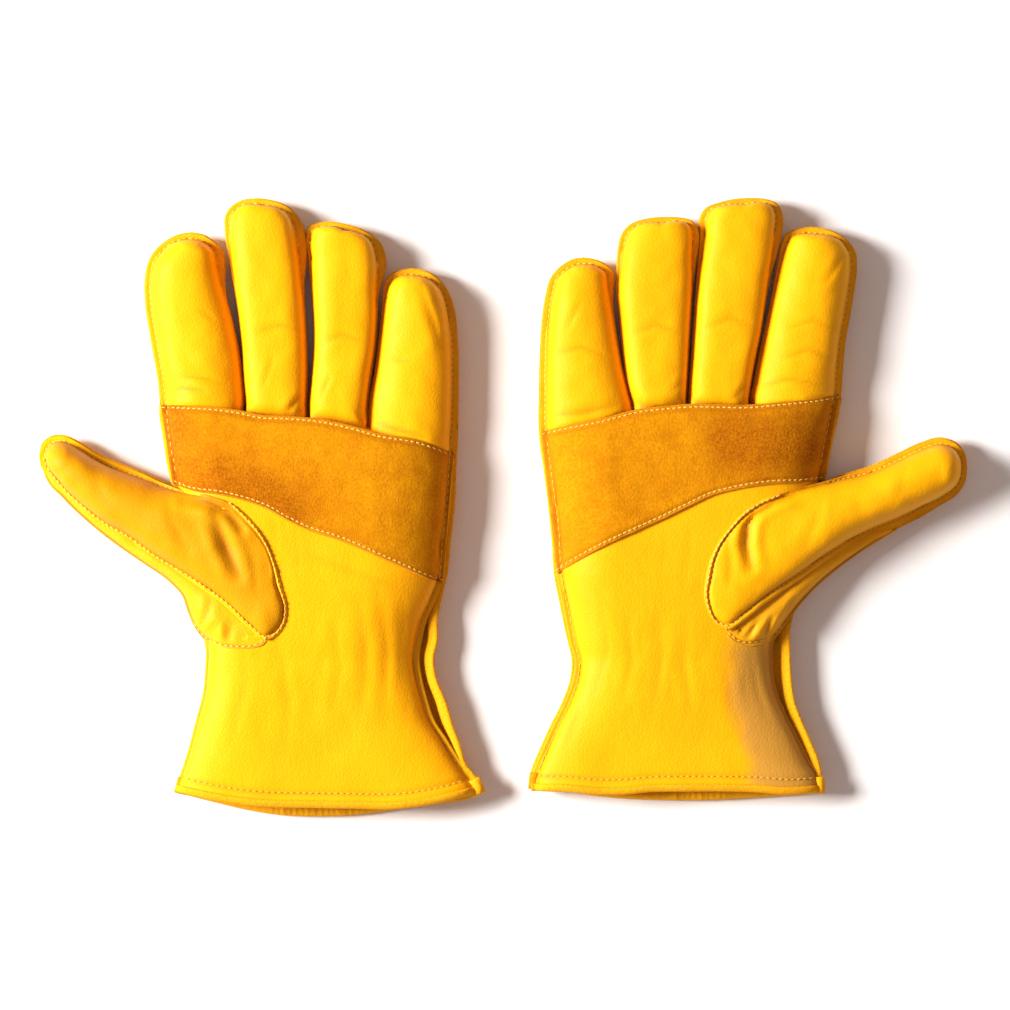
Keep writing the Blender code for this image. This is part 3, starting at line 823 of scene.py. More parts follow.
def palm_patch(data):
    """The suede patch over the upper palm, from the finger creases to its stitched lower edge."""
    side_gaps, height = hand_profile(data)
    rows, columns = 46, 110
    low = smooth_line(data["patch_low"], columns + 1)
    high = smooth_line(data["patch_high"], columns + 1)
    v = np.linspace(0, 1, rows + 1)[:, None]
    v = v - 0.05 * np.sin(2 * np.pi * v)
    x, y = (low[None, :, axis] * (1 - v) + high[None, :, axis] * v for axis in (0, 1))
    bump, _ = palm_relief(data, x, y)
    edges, seams = side_gaps(x, y)
    gap = np.minimum(*seams)
    tall = np.linalg.norm(high[:, :2] - low[:, :2], axis=1)[None, :]
    from_low, from_high = v * tall, (1 - v) * tall
    z = height(x, y) + 0.6 * bump * soft_step(gap, 0.0, 7.0) + SUEDE + 0.45
    for distance in (from_low, from_high):
        z = z - 0.45 * ridge(distance - PATCH_STITCH, 0.8)
    z = z - 1.3 * ridge(from_high, 3.5) + 0.2 * swell(x, y, 5, data["seed"] + 40)
    line = ridge(gap, GROOVE_WIDTH)
    stain_gap, _ = distance_to(data["patch_stain"], x, y)
    stain = np.clip(1.2 * ridge(stain_gap, 14) + 0.4 * swell(x, y, 9, 3.0), 0, 1)
    from_row = np.minimum(from_low, from_high)
    # Painted shade in a thin line 2.4 mm inside each stitched edge and in the side seam grooves.
    crease = np.maximum(0.35 * ridge(from_row - 2.4, 0.7), 0.5 * line)
    return grid_mesh(x, y, z - GROOVE_DEPTH * line, 1, crease=crease, stain=stain,
                     edge=0.5 * ridge(np.minimum(from_row, np.minimum(*edges)), 0.8))


def back_panel(data):
    """The back of the hand: a tray from the finger bases to the hem."""
    rows, columns = 96, 70
    left, right = (smooth_line(data[f"back_{side}"], rows + 1) for side in SIDES)
    x, y, low = hand_grid(left, right, data["back_hem"], rows, columns, 0.05, 2.4)
    to_right = right[:, None, 0] - x
    gap = np.minimum(x - left[:, None, 0], to_right)
    rise = dome((gap - BACK_SEAM) / 16, 2.3)
    wrist = ridge(y + 62, 16)
    floor = 0.05 + 1.9 * wrist + 1.4 * ridge(y - low, 9)
    z = BACK_EDGE + (floor - BACK_EDGE) * rise
    inside = soft_step(gap, BACK_SEAM, 10)
    gathers = wrist * 0.7 * np.sin(2 * np.pi * x / 6.5) * inside
    z = z + np.abs(gathers) + 0.25 * inside * (1 + swell(x, y, 14, data["seed"] + 60))
    from_hem = (np.arange(rows + 1) / rows * 150)[:, None]
    near_hem = ridge(from_hem, 6.0) * between(x, data["ticks"])
    folds = np.clip(np.sin(2 * np.pi * x / 2.9), 0, 1) ** 3
    z = z + 0.4 * near_hem * folds
    z = z + 1.8 * ridge(to_right, 3.2) * soft_step(-y, 38, 50)
    # Painted shade in the small folds by the hem and in the seam groove.
    crease = np.maximum(near_hem * folds, 0.5 * ridge(gap - BACK_SEAM, GROOVE_WIDTH))
    return grid_mesh(x, y, z, -1, crease=crease, edge=ridge(gap, CUT_WEAR))


def between(values, limits):
    return (values > limits[0]) & (values < limits[1])


def hem_strip(tree, line, facing, ticks=(0, 0)):
    """A folded hem edge: round the cut edge of the leather and up its inside."""
    even = smooth_line(line, 300)
    upward = beside(even)
    upward *= np.sign(upward[:, 1:2])
    rows = []
    for reach, lift in HEM_SECTION:
        spots = even[:, :2] + upward * reach
        heights = np.array([hem_height(tree, x, y, facing) for x, y in spots])
        smooth = np.convolve(np.pad(heights, 2, mode="edge"), np.ones(5) / 5, mode="valid")
        rows.append(np.stack([spots[:, 0], spots[:, 1], smooth + facing * lift]))
    x, y, z = np.array(rows).transpose(1, 0, 2)
    reaches = np.array([reach for reach, _ in HEM_SECTION])[:, None]
    shown = between(x, ticks) * soft_step(reaches, -1.1, -0.5)
    bars = np.clip(np.sin(2 * np.pi * x / 2.5 + 1.5 * swell(x, x, 7, 2.0)), 0, 1) ** 2 * shown
    within = (np.arange(len(HEM_SECTION)) > 5)[:, None]
    # Painted shade in the small tick folds at the mouth.
    return grid_mesh(x, y, z - facing * 0.3 * bars * within, facing, crease=0.9 * bars)


def hem_height(tree, x, y, facing):
    """The hem leather's outer face near a place, also just past its edge."""
    for step in (0.0, 1.0, 2.0, 3.0, 4.5):
        start = Vector((x * MM, (y + step) * MM, 0.08 * facing))
        hit, _, _, _ = tree.ray_cast(start, Vector((0, 0, -facing)))
        if hit is not None:
            return hit.z / MM
    return FRONT_EDGE if facing > 0 else BACK_EDGE


# ---------------------------------------------------------------- thumbs

def laid_on(palm_tree, points):
    """The points of a side, those without a height laid on the palm leather."""
    made = []
    for x, y, z, seam in points:
        if z is None:
            hit, _ = settle([palm_tree], x, y, 1)
            near = palm_tree.find_nearest(Vector((x * MM, y * MM, FRONT_EDGE * MM)))[0]
            z = (hit or near).z / MM + ROUND_SEAM_LIFT
        made.append((x, y, z, seam))
    return made


def thumb_front(data, palm_tree):
    """The keystone thumb piece, from the round palm seam to the tip."""
    points = disc_points(laid_on(palm_tree, data["leaf_up"]), laid_on(palm_tree, data["leaf_down"]), 110, 24,
                         0.17, 0.14)
    x, y, seed = points["x"], points["y"], data["seed"]
    inward, seam = points["inward"], points["seam"]
    crown = np.interp(points["share"], [0, 0.25, 0.5, 0.8, 1], [24, 25.5, 26, 23.5, 21])
    z, line = disc_heights(points, crown, 2.2, 0.6)
    z = z + 0.65 * np.sin(np.pi * np.clip(inward / seam, 0, 1)) * np.clip(points["edge"] / 6 - 1.6, 0, 1)
    inside = inside_seam(points, 4)
    depth, dark = folded(x, y, data["leaf_folds"])
    z = z - depth * inside
    z = z + inside * (0.6 * swell(x, y, 18, seed + 11) + 0.25 * swell(x, y, 7, seed + 12))
    z = z + 0.3 * swell(x, y, 4, seed + 14) * (1 - inside)
    # The lip mask: on the left thumb the painted shade gives way to the plain yellow on its flange, which
    # faces the light.
    lip = (1 - soft_step(inward, seam - 0.5, seam)) * soft_step(seam, 1.2, 1.6)
    # Painted shade in the folds and the stitch groove.
    return grid_mesh(x, y, z, 1, crease=np.maximum(dark, 0.5 * line), edge=edge_wear(points), lip=lip), points


def thumb_back(data):
    """The wing of the thumb: the back half, down to the floor."""
    sides = (at_height(data[side], BACK_EDGE) for side in ("wing_up", "wing_down"))
    points = disc_points(*sides, 80, 16, 0.17, 0.15)
    x, y = points["x"], points["y"]
    z, line = disc_heights(points, 1.8, 2.4, BACK_GROOVE)
    z = z + inside_seam(points, 5) * 0.5 * (1 + swell(x, y, 14, data["seed"] + 18)) * 0.5
    # Painted shade in the seam's stitch groove.
    return grid_mesh(x, y, z, -1, crease=0.6 * line, edge=edge_wear(points))


def thumb_lobe(data, palm_tree):
    """The part of the wing that wraps up to the palm below the thumb."""
    points = disc_points(laid_on(palm_tree, data["lobe_out"]), laid_on(palm_tree, data["lobe_in"]), 60, 14,
                         0.2, 0.12)
    x, y = points["x"], points["y"]
    crown = np.interp(points["share"], [0, 0.2, 0.4, 0.6, 0.8, 1], data["lobe_crown"])
    z, line = disc_heights(points, crown, 2.0, 0.5)
    inside = inside_seam(points, 3)
    depth, dark = folded(x, y, data["lobe_folds"])
    z = z - depth * inside + inside * 0.4 * swell(x, y, 8, data["seed"] + 21)
    # Painted shade in the folds and stitch groove; an even share of the duller tan over the whole lobe.
    return grid_mesh(x, y, z, 1, crease=np.maximum(dark * inside, 0.8 * line), edge=edge_wear(points),
                     stain=np.full_like(x, data["lobe_stain"])), points


def build_thumb(glove, data, finish, palm_tree):
    """The thumb: its keystone front, its wing, the lobe below it and their threads."""
    front, points = thumb_front(data, palm_tree)
    lobe, lobe_points = thumb_lobe(data, palm_tree)
    trees = surface_of(front, lobe) + [palm_tree]
    upper, lower = data["round_seam"]
    for name, start, end, shift in (("round_seam_thread_upper", 0.0, upper, ROUND_SEAM_SHIFT),
                                    ("round_seam_thread_lower", lower, 2.0, ROUND_SEAM_SHIFT),
                                    ("outer_seam_thread", 0.5, 1.0, -0.4),
                                    ("lower_seam_thread", 1.0, lower, -0.6)):
        finger_stitches(f"{glove}_thumb_{name}", seam_line(points, start, end, shift), trees, glove, "thumb",
                        PATCH_GAUGE)
    for name, start, end in (("outer", 0.0, data["lobe_sewn"][0]), ("inner", data["lobe_sewn"][1], 2.0)):
        hand_stitches(f"{glove}_thumb_lobe_thread_{name}", seam_line(lobe_points, start, end, 0.1), trees,
                      glove, CREAM_THREAD, PATCH_GAUGE)
    palm_and_back_pairs(front, thumb_back(data), glove, "thumb", finish)
    jointed_pair(lobe, glove, "thumb", ("root_wing", "tip_wing"), GRAIN_FINISH, ("root",))


def elastic_band(glove, back_tree):
    """A short band of shirred elastic inside the back of the wrist, on the inner face of its leather."""
    low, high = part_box(f"{glove}_wrist_elastic")
    x, y = np.meshgrid(np.linspace(low.x, high.x, 121) / MM, np.linspace(low.y, high.y, 13) / MM)
    outside = np.array([settle([back_tree], *spot, -1)[0].z / MM for spot in zip(x.ravel(), y.ravel())])
    outside = outside.reshape(x.shape)
    z = outside + LEATHER + 1.6 + 0.35 * np.sin(2 * np.pi * x / 3.2) + 0.12 * np.sin(2 * np.pi * y / 1.5)
    hand_piece(glove, grid_mesh(x, y, z, 1), "elastic_band", [ELASTIC] * 3, 0.9, "wrist_elastic")


def hand_piece(glove, bm, name, finish, wall, node):
    piece = as_piece(bm, f"{glove}_{name}", finish, wall)
    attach(piece, f"{glove} hand")
    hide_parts(f"{glove}_{node}")


def sew_hand(glove, hand, top, back, back_hem):
    """The rows of stitches at the hem, round the patch and along the sides."""
    mouth = shifted(hand["back_hem"], 0.6)[8:-8]
    hem, low, high = hand["hem"], hand["patch_low"], hand["patch_high"]
    rows = [("front_hem", shifted(hem, HEM_STITCH), top, YELLOW_THREAD, HEM_GAUGE, 1, "grain_leather"),
            ("back_hem", shifted(hand["back_hem"], HEM_STITCH), surface_of(back), YELLOW_THREAD, HEM_GAUGE,
             -1, "grain_leather"),
            ("mouth", mouth, surface_of(back_hem), YELLOW_THREAD, MOUTH_GAUGE, 1, "grain_leather"),
            ("patch_upper", shifted(high, -PATCH_STITCH), top, CREAM_THREAD, PATCH_GAUGE, 1, "suede"),
            ("patch_lower", shifted(low, PATCH_STITCH), top, CREAM_THREAD, PATCH_GAUGE, 1, "suede")]
    for name, line, trees, material, gauge, facing, slot in rows:
        hand_stitches(f"{glove}_{name}_thread", line, trees, glove, material, gauge, facing)
    for side, reach in zip(SIDES, (-2.1, 2.2)):
        start, end = hand[f"{side}_sewn"]
        line = [point for point in shifted(hand[f"{side}_side"], reach) if start < point[1] < end]
        hand_stitches(f"{glove}_{side}_side_thread_1", line, top, glove, YELLOW_THREAD, SIDE_GAUGE)


def build_glove(glove, hand, fingers, thumb_finish):
    _, height = hand_profile(hand)
    palm, patch, back = palm_panel(hand), palm_patch(hand), back_panel(hand)
    palm_tree, back_tree = surface_of(palm)[0], surface_of(back)[0]
    front_hem = hem_strip(palm_tree, hand["hem"], 1)
    back_hem = hem_strip(back_tree, hand["back_hem"], -1, hand["ticks"])
    sew_hand(glove, hand, surface_of(palm, patch, front_hem), back, back_hem)
    hand_piece(glove, palm, "palm_leather", GRAIN_FINISH, LEATHER, "palm_panel")
    hand_piece(glove, patch, "suede_patch", PATCH_FINISH, SUEDE, "palm_patch")
    hand_piece(glove, back, "back_leather", BACK_FINISH, LEATHER, "back_panel")
    hand_piece(glove, front_hem, "front_hem_fold", GRAIN_FINISH, HEM_WALL, "hem_binding_front")
    hand_piece(glove, back_hem, "back_hem_fold", BACK_FINISH, HEM_WALL, "hem_binding_back")
    elastic_band(glove, back_tree)
    for finger, shape in fingers.items():
        build_finger(glove, finger, shape, hand["patch_high"], height)
    build_thumb(glove, hand, thumb_finish, palm_tree)


# ---------------------------------------------------------------- the two gloves, in millimetres

# Lines run up the hand or across it as x, y. The sides of a finger and of the thumb's wing add the width of
# their seam. The sides of the thumb's front, the leaf, and of its lobe add a height and a width, with no
# height where they lie on the palm. A fold is a width, a depth and a line. A seed sets the uneven surface.

LEFT_HAND = {
    "seed": 2.0, "gather": 12.0,
    "left_side": [(-132.5, -114.5), (-130, -108), (-128, -102), (-124, -87), (-121, -75), (-120.3, -66),
        (-120, -60), (-121.5, -53), (-124, -43), (-127, -32), (-130, -19), (-133, -4), (-134.3, 9),
        (-136, 19), (-137.5, 28), (-139, 41)],
    "right_side": [(-10, -114.8), (-16.5, -105), (-22.8, -95), (-28, -87), (-31, -78), (-33, -70), (-34, -62),
        (-33, -55), (-31, -47), (-27, -38), (-24, -30), (-22.8, -15), (-20.8, 0), (-20, 15), (-19.3, 30)],
    "left_seam": [(-60, 0.2), (-50, 2.2)], "right_seam": [(-60, 2.8), (0, 2.4)], "left_shoulder": 20,
    "right_shoulder": 31, "left_sewn": (12, 40), "right_sewn": (-108, 28),
    "tops": [(-122, 15.5), (-100, 16.5), (-62, 19), (-45, 21.5), (-28, 23.6), (0, 24.6), (20, 24), (36, 21.3),
        (50, 19.8)],
    "hem": [(-132.5, -114.5), (-115, -118), (-100, -120), (-80, -120.7), (-60, -121), (-45, -121.2),
        (-30, -119.5), (-20, -117.4), (-10, -114.8)],
    "back_hem": [(-133.5, -115), (-120, -118.7), (-105, -122.3), (-90, -124.6), (-75, -125), (-60, -124.4),
        (-45, -122.5), (-30, -120.3), (-15, -118), (-8, -115)],
    "back_left": [(-133.5, -115), (-131, -108), (-129, -102), (-125, -87), (-122, -75), (-121.3, -66),
        (-121, -60), (-122.3, -52), (-124, -42), (-126, -30), (-128, -15), (-131.5, 0), (-135.3, 10),
        (-138.5, 27), (-140, 41), (-139.5, 44)],
    "back_right": [(-8, -115), (-11, -110), (-15, -105), (-17, -98), (-20, -90), (-23, -80), (-27, -70),
        (-28, -62), (-26.5, -55), (-26.5, -46), (-25, -38), (-22.6, -28), (-21.3, -15), (-19.6, 0), (-19, 15),
        (-18.3, 30), (-18.3, 33)],
    "ticks": (-95, -55),
    "folds": [(2.2, 1.1, [(-59, -36), (-56, -58), (-57, -84)]),
        (1.8, 1.0, [(-50, -34), (-47, -58), (-48, -86)]), (1.8, 0.9, [(-41, -40), (-40, -62), (-38, -82)]),
        (1.6, 0.7, [(-68, -48), (-66, -66), (-69, -82)]), (2.4, 0.9, [(-104, -62), (-106, -78), (-110, -96)]),
        (2.0, 0.8, [(-90, -60), (-87, -78), (-88, -98)]), (0.9, 0.7, [(-93.5, -3), (-91, -14)]),
        (0.9, 0.6, [(-88.5, -7), (-86, -20)]), (1.2, 0.5, [(-84, -12), (-82, -30)]),
        (2.5, 0.8, [(-78, -20), (-60, -27), (-40, -34)])],
    "patch_low": [(-134.3, 9), (-127, 6.5), (-113, 4.5), (-100, 1), (-95, -1), (-88, -5), (-80, -9),
        (-65, -14), (-50, -20.5), (-40, -25), (-30, -29.5), (-24.6, -31.5)],
    "patch_high": [(-139.1, 41), (-130, 40.5), (-115, 39.5), (-105, 38), (-100, 36.8), (-87, 36), (-75, 35),
        (-60, 31.8), (-50, 29), (-35, 26.5), (-20.2, 21.5)],
    "patch_stain": [(-137, 36), (-134, 14), (-120, 8), (-104, 5), (-90, 0)],
    "thumb_hole": [(-111, -1.2), (-104.2, -5.4), (-99.5, -13.4), (-96, -26), (-92.5, -36), (-92.5, -44),
        (-97, -50), (-105, -53), (-113, -53), (-119, -49), (-142, -45), (-147, -20), (-143, 5), (-125, 2)],
    "leaf_up": [(-88, -36, None, 2.9), (-90, -29, None, 2.9), (-93, -20, None, 2.9), (-97.5, -11, None, 2.9),
        (-103.5, -3.8, None, 2.9), (-110, 1.0, None, 1.6), (-119, 4.2, None, 1.2), (-130, 6.4, None, 1.2),
        (-138, 9, 11, 2), (-146, 12.6, 9.4, 2.6), (-155, 16.2, 9, 3), (-165, 20.6, 9, 3), (-172, 25, 9, 3),
        (-178.5, 28, 9, 3), (-183.5, 27.8, 9, 3), (-187, 25, 9, 3), (-188.6, 20.5, 9, 3)],
    "leaf_down": [(-88, -36, None, 2.9), (-87, -42, None, 2.9), (-88.3, -48.5, None, 2.9),
        (-91.5, -52.8, None, 2.9), (-95.5, -54.4, 21.3, 2.4), (-102, -50.2, 21, 2.8), (-112, -41, 19.6, 2.8),
        (-122, -33.8, 17.6, 2.8), (-131.8, -27.8, 15.6, 2.8), (-142, -21.6, 14, 2.8), (-152, -14.4, 13, 2.8),
        (-162, -8.8, 12, 2.8), (-172, -1, 10.8, 2.8), (-180.8, 7, 9.6, 3), (-185.9, 12.8, 9.1, 3.2),
        (-188.3, 17, 9, 3.6), (-188.6, 20.5, 9, 3.8)],
    "round_seam": (0.34, 1.86), "lobe_sewn": (0.2, 1.88),
    "leaf_folds": [(2.2, 2.2, [(-127, 3.5), (-118, 0.8), (-111, -2.5), (-105.5, -9)]),
        (2.4, 1.9, [(-116, -5), (-112, -16), (-107, -28)]), (1.6, 0.2, [(-136, 4), (-133, -8), (-127, -18)]),
        (1.4, 0.2, [(-101, -22), (-99, -36)]), (2.2, 0.2, [(-166, 17), (-163, 6), (-157, -3)])],
    "wing_up": [(-112, -28, 0.6), (-113, -10, 0.6), (-120, 0, 1), (-130, 4, 1.5), (-138, 9.5, 2.5),
        (-146, 13.2, 3), (-155, 16.9, 3.2), (-165, 21.3, 3.2), (-172, 25.7, 3.2), (-178.3, 28.7, 3.2),
        (-183.8, 28.5, 3.2), (-187.7, 25.4, 3.2), (-189, 20.5, 3.2)],
    "wing_down": [(-112, -28, 0.6), (-112, -45, 0.6), (-119, -52, 1), (-124.5, -50, 1.5), (-128, -42, 2),
        (-131, -33.5, 2.5), (-140, -27.8, 3), (-150, -20.5, 3.2), (-160, -13.6, 3.2), (-172, -3.6, 3.2),
        (-181, 5.4, 3.2), (-186.3, 12.4, 3.2), (-188.4, 16.5, 3.2), (-189, 20.5, 3.2)],
    "lobe_out": [(-108, -58, None, 1.4), (-114.5, -57.3, None, 1.4), (-121, -55, None, 1.4),
        (-125, -50, 10, 1), (-128, -43.5, 9.5, 1), (-130.5, -36.5, 9.3, 1), (-136, -30.5, 9.2, 1),
        (-147, -22.8, 9.2, 1), (-158, -15.2, 9.1, 1), (-170, -5.6, 9, 1), (-179.5, 3.6, 9, 1),
        (-185.3, 10.6, 8.6, 1), (-187.2, 15.5, 8, 1)],
    "lobe_in": [(-108, -58, None, 1.4), (-101.5, -57.6, None, 1.4), (-96, -55.6, None, 1.4),
        (-94.5, -52, 19.9, 0.6), (-99, -47, 19.6, 0.6), (-109, -38, 18, 0.6), (-119.5, -30.5, 16, 0.6),
        (-129.5, -24.5, 14, 0.6), (-139.5, -18.4, 12.4, 0.6), (-149.5, -11.3, 11.4, 0.6),
        (-159.5, -5.5, 10.4, 0.6), (-169.5, 2.2, 9.2, 0.6), (-178, 9.5, 8, 0.6), (-184, 14.5, 7.8, 0.6),
        (-187.2, 15.5, 8, 1)],
    "lobe_crown": [20.3, 19.6, 16.6, 13.6, 12, 9],
    "lobe_folds": [(1.2, 1.0, [(-124, -50), (-120, -44), (-118, -38)]),
        (1.4, 0.7, [(-112, -56), (-110, -48)])],
    "lobe_stain": 0.1,
}

LEFT_FINGERS = {
    "index": {
        "seed": 11.0, "base": 42, "sewn": (0.2, 1.18),
        "left": [(-122, 33, 0.6), (-131, 32.5, 1), (-137, 35, 2), (-139, 41, 3), (-140, 50, 3.2),
            (-143, 67, 3.2), (-145.3, 82, 3.2), (-145.5, 92, 3.2), (-143.5, 100.5, 3.2), (-139, 106, 3.2),
            (-132, 110, 3.2), (-126, 110.8, 3.2), (-121.5, 109.8, 3.2)],
        "right": [(-122, 33, 0.6), (-112, 32.5, 0.6), (-107, 35, 0.6), (-105.3, 42, 0.6), (-105.8, 50, 0.6),
            (-107.2, 62, 0.6), (-110, 75, 0.6), (-112.8, 86, 1), (-113.6, 92, 2.4), (-113.4, 98, 4.3),
            (-113.8, 102, 4.3), (-116.3, 105.8, 3.6), (-121.5, 109.8, 3.2)],
        "folds": [(1.3, 0.9, [(-137, 45.5), (-130, 47.5), (-121, 46)]),
            (1.1, 0.6, [(-133, 51.5), (-124, 52), (-112, 49)]), (5.0, 1.0, [(-132, 65), (-127, 57)]),
            (1.0, 0.4, [(-122, 79), (-116, 74)])],
    },
    "middle": {
        "seed": 12.0, "power": 3.3, "base": 36.5, "tucked": True, "sewn": (0.8, 1.26),
        "left": [(-93, 28, 0.6), (-101, 28.5, 0.6), (-104, 32, 0.6), (-104.7, 42, 0.6), (-105.6, 52, 0.6),
            (-106.3, 64, 0.6), (-107.6, 76, 0.6), (-109.7, 90, 0.8), (-111.8, 103, 1.6), (-113, 112, 2.6),
            (-112.7, 118, 3), (-110, 121.8, 3), (-105.5, 124.1, 3), (-99, 124.7, 3)],
        "right": [(-93, 28, 0.6), (-84, 28.5, 0.6), (-80.5, 32, 0.6), (-79.7, 42, 0.6), (-79.5, 55, 0.6),
            (-80, 70, 0.6), (-80.8, 84, 0.7), (-81, 92, 1.6), (-80.2, 99, 3.4), (-80, 106, 5),
            (-81, 111.5, 5), (-83.5, 117, 4), (-87.5, 121.2, 3.2), (-93, 123.6, 3), (-99, 124.7, 3)],
        "folds": [(2.2, 2.6, [(-106, 41), (-102, 37.5), (-93, 36.5), (-84, 36.5), (-79, 40)]),
            (1.2, 1.2, [(-87, 38), (-84, 42), (-80, 46)]), (1.6, 0.5, [(-100, 70), (-90, 73), (-83, 71)]),
            (1.0, 0.4, [(-97, 48), (-93, 60)])],
    },
    "ring": {
        "seed": 13.0, "power": 3.3, "base": 34, "tucked": True, "sewn": (0.8, 1.26),
        "left": [(-67, 26, 0.6), (-74.5, 27, 0.6), (-78, 31, 0.6), (-79, 40, 0.6), (-78.2, 50, 0.6),
            (-77.3, 60, 0.6), (-77, 70, 0.6), (-77.4, 80, 0.6), (-78.1, 90, 0.8), (-79, 100, 1.6),
            (-80, 109, 2.6), (-79.3, 112.8, 3), (-75, 114.7, 3), (-70, 115.2, 3), (-65, 114.4, 3)],
        "right": [(-67, 26, 0.6), (-59, 26.5, 0.6), (-55.7, 30, 0.6), (-55, 40, 0.6), (-53.6, 52, 0.6),
            (-51.8, 64, 0.6), (-51, 76, 0.6), (-50.6, 86, 1.2), (-49, 92.5, 2.8), (-48, 98, 4.2),
            (-48.6, 103, 4.5), (-50.5, 107, 4.2), (-55, 110.7, 3.4), (-60, 113, 3), (-65, 114.4, 3)],
        "folds": [(2.2, 2.6, [(-80, 39), (-76, 35.8), (-67, 34.3), (-58, 32.6), (-54.5, 37)]),
            (1.6, 0.5, [(-74, 66), (-65, 69), (-55, 66)]), (1.0, 0.5, [(-74, 44), (-70, 52)])],
    },
    "little": {
        "seed": 14.0, "base": 28, "sewn": (0.86, 1.8),
        "left": [(-38, 20, 0.6), (-50, 21.5, 0.6), (-54, 25, 0.6), (-55, 34, 0.6), (-54.2, 44, 0.6),
            (-52.4, 54, 0.6), (-51, 64, 0.6), (-49.8, 74, 0.8), (-48.8, 84, 1.4), (-48.2, 89.5, 2.4),
            (-47, 92.3, 3), (-44, 94.7, 3), (-37, 96.2, 3)],
        "right": [(-38, 20, 0.6), (-26, 19, 0.8), (-20.5, 20, 2), (-19.2, 28, 3), (-18.6, 42, 3.2),
            (-18.5, 56, 3.2), (-19, 70, 3.2), (-20.3, 80, 3.2), (-22.5, 86.5, 3.2), (-26, 91.5, 3.2),
            (-31, 95, 3.1), (-37, 96.2, 3)],
        "folds": [(1.5, 0.9, [(-33, 87), (-29, 76), (-25, 64)]), (1.2, 0.6, [(-29, 88), (-26, 78)]),
            (1.8, 0.9, [(-53, 34), (-44, 31), (-32, 28)]), (1.2, 0.5, [(-49, 60), (-38, 58)])],
    },
}

